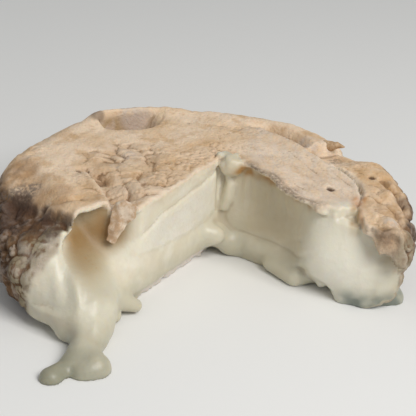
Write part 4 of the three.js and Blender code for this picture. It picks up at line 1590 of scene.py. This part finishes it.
class Graph:
    """The nodes of one material."""

    def __init__(self, name: str) -> None:
        """Starts an empty material.

        Args:
            name: The material's name.
        """
        self.material = bpy.data.materials.new(name)
        self.material.use_nodes = True
        self.tree = self.material.node_tree
        self.tree.nodes.clear()
        self.place = Wire(self, self.node("ShaderNodeTexCoord").outputs["Object"])

    def node(
        self,
        kind: str,
        settings: dict[str, object] | None = None,
        sockets: dict[str | int, object] | None = None,
    ) -> bpy.types.Node:
        """Makes any node.

        Args:
            kind: The node's type.
            settings: What the node itself is set to, set first.
            sockets: Values or wires of its input sockets, by name or number.

        Returns:
            The node.
        """
        node = self.tree.nodes.new(kind)
        for name, value in (settings or {}).items():
            setattr(node, name, value)
        for name, value in (sockets or {}).items():
            if isinstance(value, Wire):
                self.tree.links.new(value.socket, node.inputs[name])
            else:
                node.inputs[name].default_value = value
        return node

    def maths(self, operation: str, first: Wire | float, second: Wire | float) -> Wire:
        """Math node of an operation on two values."""
        node = self.node("ShaderNodeMath", {"operation": operation}, {0: first, 1: second})
        return Wire(self, node.outputs[0])

    def mask(self, name: str) -> Wire:
        """Mask that the skin keeps under a name."""
        node = self.node("ShaderNodeAttribute", {"attribute_name": name})
        return Wire(self, node.outputs["Fac"])

    def clouds(self, pitch: float, detail: float = 3.0, stretch: Point = (1.0, 1.0, 1.0)) -> Wire:
        """Cloudy noise from about 0.3 to 0.7.

        Args:
            pitch: Size of its clouds, in millimetres.
            detail: Number of finer layers.
            stretch: How much longer the clouds are along each axis.

        Returns:
            The noise.
        """
        sockets = {"Vector": self.place, "Scale": tuple(1.0 / (s * pitch * MM) for s in stretch)}
        place = self.node("ShaderNodeMapping", {"vector_type": "POINT"}, sockets)
        sockets = {"Vector": Wire(self, place.outputs[0]), "Scale": 1.0, "Detail": detail, "Roughness": 0.6}
        return Wire(self, self.node("ShaderNodeTexNoise", {}, sockets).outputs["Fac"])

    def cells(self, pitch: float) -> Wire:
        """Distance to the nearest centre, in cells of a pitch in millimetres."""
        sockets = {"Vector": self.place, "Scale": 1.0 / (pitch * MM)}
        return Wire(self, self.node("ShaderNodeTexVoronoi", {}, sockets).outputs["Distance"])

    def between(self, value: Wire, low: float, high: float) -> Wire:
        """Smooth step of a value.

        Args:
            value: The value.
            low: Where the step leaves 0.
            high: Where the step reaches 1.

        Returns:
            The step.
        """
        settings = {"interpolation_type": "SMOOTHSTEP", "clamp": True}
        node = self.node("ShaderNodeMapRange", settings, {"Value": value, "From Min": low, "From Max": high})
        return Wire(self, node.outputs[0])

    def mix(self, share: Wire | float, first: Wire | int, second: Wire | int) -> Wire:
        """Mixes two colours, given as wires or as screen colours.

        Args:
            share: How much of the second colour shows.
            first: The colour at a share of 0.
            second: The colour at a share of 1.

        Returns:
            The mixed colour.
        """
        colors = [c if isinstance(c, Wire) else linear(c) for c in (first, second)]
        settings = {"data_type": "RGBA", "clamp_factor": True}
        node = self.node("ShaderNodeMix", settings, {0: share, 6: colors[0], 7: colors[1]})
        return Wire(self, node.outputs[2])

    def tinted(self, color: Wire, *tints: Tint) -> Wire:
        """Lays tints over a colour, one after another.

        Args:
            color: The colour under them.
            tints: The tints.

        Returns:
            The tinted colour.
        """
        for tint in tints:
            color = self.mix(self.mask(tint.mask) * tint.share, color, tint.color)
        return color

    def bump(self, height: Wire, depth: float, strength: float) -> Wire:
        """Normal of a fine relief.

        Args:
            height: The relief, from 0 to 1.
            depth: Its depth, in millimetres.
            strength: How strongly it tilts the light.

        Returns:
            The normal.
        """
        sockets = {"Strength": strength, "Distance": depth * MM, "Height": height}
        return Wire(self, self.node("ShaderNodeBump", {}, sockets).outputs[0])

    def principled(self, sockets: dict[str, object]) -> Wire:
        """Principled shader with its sockets set."""
        return Wire(self, self.node("ShaderNodeBsdfPrincipled", {}, sockets).outputs[0])

    def finish(self, shader: Wire) -> bpy.types.Material:
        """Gives the material its surface and returns it."""
        self.node("ShaderNodeOutputMaterial", {}, {"Surface": shader})
        return self.material


@dataclass(frozen=True)
class RindFinish:
    """Matte, wrinkled rind in mottled tan, with brown folds, pale and slate mould, and painted shade in
    hollows, pits and low places.
    """

    tan: int = 0xDEC19F
    blush: int = 0xE9D1B5
    ochre: int = 0xC09A6C
    wall: int = 0x735538
    wall_dark: int = 0x4A3626
    crust: int = 0x998C72
    # brown of the folds, also laid in every hollow as painted shade
    fold: int = 0x7A5A3C
    mould: int = 0xC9BCB0
    slate: int = 0x6A6059
    # damp stain of the pocket, also painted shade along the groove
    damp_and_groove_shade: int = 0xA0835B
    haze: int = 0xC4B2A4
    # grey-brown of the frayed edge, dark enough to be partly painted shade under the lip
    frayed: int = 0x87745F
    flour: int = 0xD5C6B6
    printed: Tint = Tint("print", 0.4, 0xB89A7B)
    golden: Tint = Tint("golden", 0.45, 0xCFA675)
    tawny: Tint = Tint("tawny", 0.75, 0xA07A52)
    # dark joints of the print, and painted shade on the cobbles' low sides
    joints_and_low_shade: Tint = Tint("joint", 0.5, 0x9A7850)
    # painted glow and shadow in the tear between tongue and far piece
    amber: Tint = Tint("tear", 0.85, 0xC48B54)
    edge: Tint = Tint("edge", 0.55, 0xDDD0BE)
    # brown stains, and painted shade in pits, on the shaded left wall and under the far piece
    brown_stain_and_shade: Tint = Tint("brown", 0.85, 0x4A3223)
    roughness: float = 0.82

    def shader(self, graph: Graph) -> Wire:
        """Builds the rind's shader.

        Args:
            graph: The material's graph.

        Returns:
            The shader.
        """
        mask = graph.mask
        broad, patchy, fine = graph.clouds(11.0, 2.0), graph.clouds(3.4, 3.0), graph.clouds(0.9, 3.0)
        color = graph.mix(graph.between(broad, 0.4, 0.62), self.tan, self.blush)
        color = graph.mix(graph.between(graph.clouds(6.0, 4.0), 0.5, 0.66) * 0.55, color, self.ochre)
        color = graph.tinted(color, self.printed, self.golden, self.tawny)
        color = graph.mix(mask("far") * graph.between(patchy, 0.3, 0.6) * 0.5, color, self.ochre)
        # dark joints, and painted shade on the low sides of the cobbles
        color = graph.tinted(color, self.joints_and_low_shade)
        walled = graph.mix(graph.between(patchy, 0.4, 0.62), self.wall, self.wall_dark)
        crusty = graph.between(patchy + 0.3 * mask("ridge") - 0.25 * mask("cavity"), 0.38, 0.6)
        walled = graph.mix(mask("crust") * crusty, walled, self.crust)
        color = graph.mix(mask("wall"), color, walled)
        mouldy = graph.between(graph.clouds(4.6, 4.0) + 0.12 * mask("ridge"), 0.48, 0.72)
        color = graph.mix(mouldy * (0.12 + 0.26 * mask("wall")), color, self.mould)
        color = graph.mix(mask("slate") * graph.between(fine, 0.35, 0.6) * 0.75, color, self.slate)
        color = graph.mix(mask("pale") * graph.between(patchy, 0.35, 0.6) * 0.8, color, self.mould)
        # lighter blush on ridges: partly pale mould on their tops, partly painted light
        color = graph.mix(mask("ridge") * 0.35 * (1.0 - mask("wall")), color, self.blush)
        floury = graph.between(graph.clouds(1.6, 3.0, (1.0, 3.0, 1.0)), 0.38, 0.62) * 0.45 + 0.2
        color = graph.mix(mask("floury") * floury, color, self.flour)
        # painted shade in the hollows, in the folds' brown
        folds_and_hollow_shade = graph.between(mask("cavity"), 0.1, 0.95) * (0.6 - 0.2 * mask("wall"))
        color = graph.mix(folds_and_hollow_shade, color, self.fold)
        color = graph.mix(mask("frayed") * graph.between(fine, 0.25, 0.55) * 0.9, color, self.frayed)
        # painted glow and shadow in the tear
        color = graph.tinted(color, self.amber)
        # damp stain in the pocket, and painted shade along the groove
        sunken = graph.mix(graph.between(graph.clouds(6.0, 2.0), 0.45, 0.7), self.damp_and_groove_shade, self.haze)
        color = graph.mix(mask("sunken") * 0.8, color, sunken)
        color = graph.mix(mask("sunken") * mask("pale") * 0.8, color, self.haze)
        # pale rind edge, then brown stains with painted shade in pits, on the left wall and under the far
        # piece
        color = graph.tinted(color, self.edge, self.brown_stain_and_shade)
        color = graph.mix(graph.between(fine, 0.54, 0.74) * 0.18, color, self.fold)
        grain = graph.clouds(0.35, 3.0) * 0.5 + (1.0 - graph.cells(0.9)) * 0.35 + fine * 0.8
        return graph.principled({
            "Base Color": color,
            "Roughness": self.roughness - 0.12 * graph.between(fine, 0.4, 0.7),
            "Subsurface Weight": 0.08,
            "Subsurface Radius": (1.0, 0.5, 0.25),
            "Subsurface Scale": 1.2 * MM,
            "Specular IOR Level": 0.35,
            "Normal": graph.bump(grain, 0.4, 0.85),
        })


@dataclass(frozen=True)
class PasteFinish:
    """Soft cream paste, chalky at the core, glossy where it runs, amber under the rind partly as painted glow
    and shade.
    """

    cream: int = 0xDFD9C7
    butter: int = 0xD8CFBA
    # painted shade: darkens the paste in its hollows
    hollow_shade: int = 0xB0A084
    tints: tuple[Tint, ...] = (
        Tint("runny", 0.8, 0xD8D3C0),
        Tint("core", 0.5, 0xDAD6CB),
        # painted shade low down, on the spill and at the vertex's foot
        Tint("low", 0.7, 0xB4AE97),
        # painted light on the far lobe and the spill
        Tint("lit_wash", 0.9, 0xECE8DA),
        Tint("toe", 0.75, 0x8F8B73),
        # partly riper olive paste, partly painted shade in the hollows
        Tint("ripe", 0.85, 0xB2A17F),
        # painted shade high in the hollow under the flap
        Tint("deep", 0.85, 0x8C6A38),
        Tint("scallop", 0.75, 0xE4D9D2),
        # painted glow through the thin rind, and painted shade under its lips and in gaps
        Tint("glow", 1.0, 0xA9824F),
    )
    # blue-grey of the thin foot, darkened partly as painted shade at its edge
    steel: Tint = Tint("blue", 0.85, 0x657069)

    def shader(self, graph: Graph) -> Wire:
        """Builds the paste's shader.

        Args:
            graph: The material's graph.

        Returns:
            The shader.
        """
        mask = graph.mask
        broad, fine = graph.clouds(7.0, 3.0), graph.clouds(1.1, 3.0)
        color = graph.mix(graph.between(broad, 0.38, 0.62), self.cream, self.butter)
        color = graph.tinted(color, *self.tints)
        # painted shade in the paste's hollows
        color = graph.mix(graph.between(mask("cavity"), 0.15, 0.9) * 0.45, color, self.hollow_shade)
        color = graph.tinted(color, self.steel)
        crumb = graph.between(fine, 0.35, 0.7) * (0.35 + 0.65 * mask("core"))
        relief = crumb * 0.6 + graph.clouds(2.6, 2.0) * 0.9
        return graph.principled({
            "Base Color": color,
            "Roughness": 0.58 - 0.1 * mask("runny") + 0.2 * mask("core"),
            "Coat Weight": 0.08 + 0.22 * mask("runny"),
            "Coat Roughness": 0.24,
            "Subsurface Weight": 0.45,
            "Subsurface Radius": (1.0, 0.72, 0.42),
            "Subsurface Scale": 2.5 * MM,
            "Specular IOR Level": 0.4,
            "Normal": graph.bump(relief, 0.3, 0.5),
        })


@dataclass(frozen=True)
class ScrapFinish:
    """Thin scrap of rind, mottled between two colours."""

    name: str
    light: int
    dark: int
    roughness: float
    coat: float
    scatter: float

    def material(self) -> bpy.types.Material:
        """Builds the material of the scrap.

        Returns:
            The material.
        """
        graph = Graph(self.name)
        broad, fine = graph.clouds(3.0, 3.0), graph.clouds(0.6, 3.0)
        color = graph.mix(graph.between(broad + 0.3 * fine, 0.5, 0.8), self.light, self.dark)
        shader = graph.principled({
            "Base Color": color,
            "Roughness": self.roughness,
            "Coat Weight": self.coat,
            "Coat Roughness": 0.2,
            "Subsurface Weight": self.scatter,
            "Subsurface Radius": (1.0, 0.6, 0.4),
            "Subsurface Scale": 1.5 * MM,
            "Normal": graph.bump(broad * 0.5 + fine, 0.12, 0.5),
        })
        return graph.finish(shader)


@dataclass(frozen=True)
class CheeseFinish:
    """The rind's and the paste's finishes, parted by the rind's edge."""

    rind: RindFinish = RindFinish()
    paste: PasteFinish = PasteFinish()

    def material(self) -> bpy.types.Material:
        """Builds the material of the cheese.

        Returns:
            The material.
        """
        graph = Graph("rind and paste")
        sockets = {0: graph.mask("rind"), 1: self.paste.shader(graph), 2: self.rind.shader(graph)}
        return graph.finish(Wire(graph, graph.node("ShaderNodeMixShader", {}, sockets).outputs[0]))


# ------------------------------------------------------------------------------------ studio


@dataclass(frozen=True)
class View:
    """The camera: how high it looks down from, how far away it is, and how it is turned."""

    elevation: float = 28.69
    distance: float = 361.76
    lens: float = 112.08
    roll: float = 3.9931
    pan: float = 0.1784
    tilt: float = 3.0099
    sensor: float = 36.0
    nearest: float = 0.01

    def build(self) -> None:
        """Makes the camera and gives it to the scene."""
        angle = math.radians(self.elevation)
        away = Vector((0.0, -math.cos(angle), math.sin(angle)))
        ahead, right = -away, Vector((1.0, 0.0, 0.0))
        above = right.cross(ahead)
        ahead = ahead + math.tan(math.radians(self.pan)) * right + math.tan(math.radians(self.tilt)) * above
        ahead.normalize()
        level = ahead.cross(Vector((0.0, 0.0, 1.0))).normalized()
        upright = level.cross(ahead)
        c, s = math.cos(math.radians(self.roll)), math.sin(math.radians(self.roll))
        axes = (c * level + s * upright, c * upright - s * level, -ahead)
        turn = Matrix(axes).transposed().to_4x4()
        place = in_frame(away * self.distance) * MM
        data = bpy.data.cameras.new("camera")
        data.lens = self.lens
        data.sensor_width = self.sensor
        data.clip_start = self.nearest
        camera = bpy.data.objects.new("camera", data)
        camera.matrix_world = Matrix.Translation(place) @ turn
        bpy.context.scene.collection.objects.link(camera)
        bpy.context.scene.camera = camera


@dataclass(frozen=True)
class Lamp:
    """One soft area light, pointing at the middle of the cheese."""

    name: str
    toward: Point
    distance: float
    size: float
    power: float
    color: Color

    def build(self) -> None:
        """Makes the light."""
        data = bpy.data.lights.new(self.name, "AREA")
        data.size = self.size
        data.energy = self.power
        data.color = self.color
        lamp = bpy.data.objects.new(self.name, data)
        away = Vector(self.toward).normalized()
        lamp.location = away * self.distance
        lamp.rotation_euler = away.to_track_quat("Z", "Y").to_euler()
        bpy.context.scene.collection.objects.link(lamp)


@dataclass(frozen=True)
class Studio:
    """Plain pale floor, soft lights and an even surround."""

    floor_half: float = 3.0
    floor_color: int = 0xE8E8E6
    floor_roughness: float = 0.9
    surround: float = 0.36
    surround_color: tuple[float, float, float, float] = (0.97, 0.985, 1.0, 1.0)
    lamps: tuple[Lamp, ...] = (
        Lamp("key light", (0.45, -0.50, 0.74), 0.75, 0.40, 4.4, (1.0, 0.985, 0.965)),
    )

    def build(self) -> None:
        """Makes the floor, the lights and the surround."""
        shape = bmesh.new()
        bmesh.ops.create_grid(shape, x_segments=1, y_segments=1, size=self.floor_half)
        mesh = bpy.data.meshes.new("floor")
        shape.to_mesh(mesh)
        shape.free()
        floor = bpy.data.objects.new("floor", mesh)
        bpy.context.scene.collection.objects.link(floor)
        graph = Graph("floor")
        sockets = {"Base Color": linear(self.floor_color), "Roughness": self.floor_roughness}
        mesh.materials.append(graph.finish(graph.principled(sockets)))
        for lamp in self.lamps:
            lamp.build()
        world = bpy.data.worlds.new("surround")
        world.use_nodes = True
        background = world.node_tree.nodes["Background"]
        background.inputs["Color"].default_value = self.surround_color
        background.inputs["Strength"].default_value = self.surround
        bpy.context.scene.world = world
        bpy.context.scene.view_settings.view_transform = "Standard"


# ------------------------------------------------------------------------------------ making


class Slot(Enum):
    """The record's material slots."""

    RIND = "rind"
    PASTE = "paste"


def add_piece(piece: bpy.types.Object, material: bpy.types.Material) -> None:
    """Dresses a piece of the cheese and lets it ride with it.

    Args:
        piece: The piece.
        material: Its material.
    """
    piece.data.materials.clear()
    piece.data.materials.append(material)
    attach(piece, "root")
    log.info("%s: %d faces", piece.name, len(piece.data.polygons))


def main() -> None:
    """Builds the studio and the cheese in order."""
    logging.basicConfig(level=logging.INFO, format="%(message)s")
    View().build()
    Studio().build()
    cheese = Cheese()
    wheel = cheese.build()
    add_piece(wheel, CheeseFinish().material())
    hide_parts(cheese.node)
    moist = ScrapFinish("moist rind", 0xD6C4AE, 0xB59573, 0.34, 0.5, 0.12)
    add_piece(RindCurl().build(), moist.material())
    dry = ScrapFinish("dry rind", 0xCDB190, 0xA78763, 0.8, 0.0, 0.1)
    add_piece(TornTip().build(), dry.material())
    bpy.context.view_layer.update()


if __name__ == "__main__":
    main()
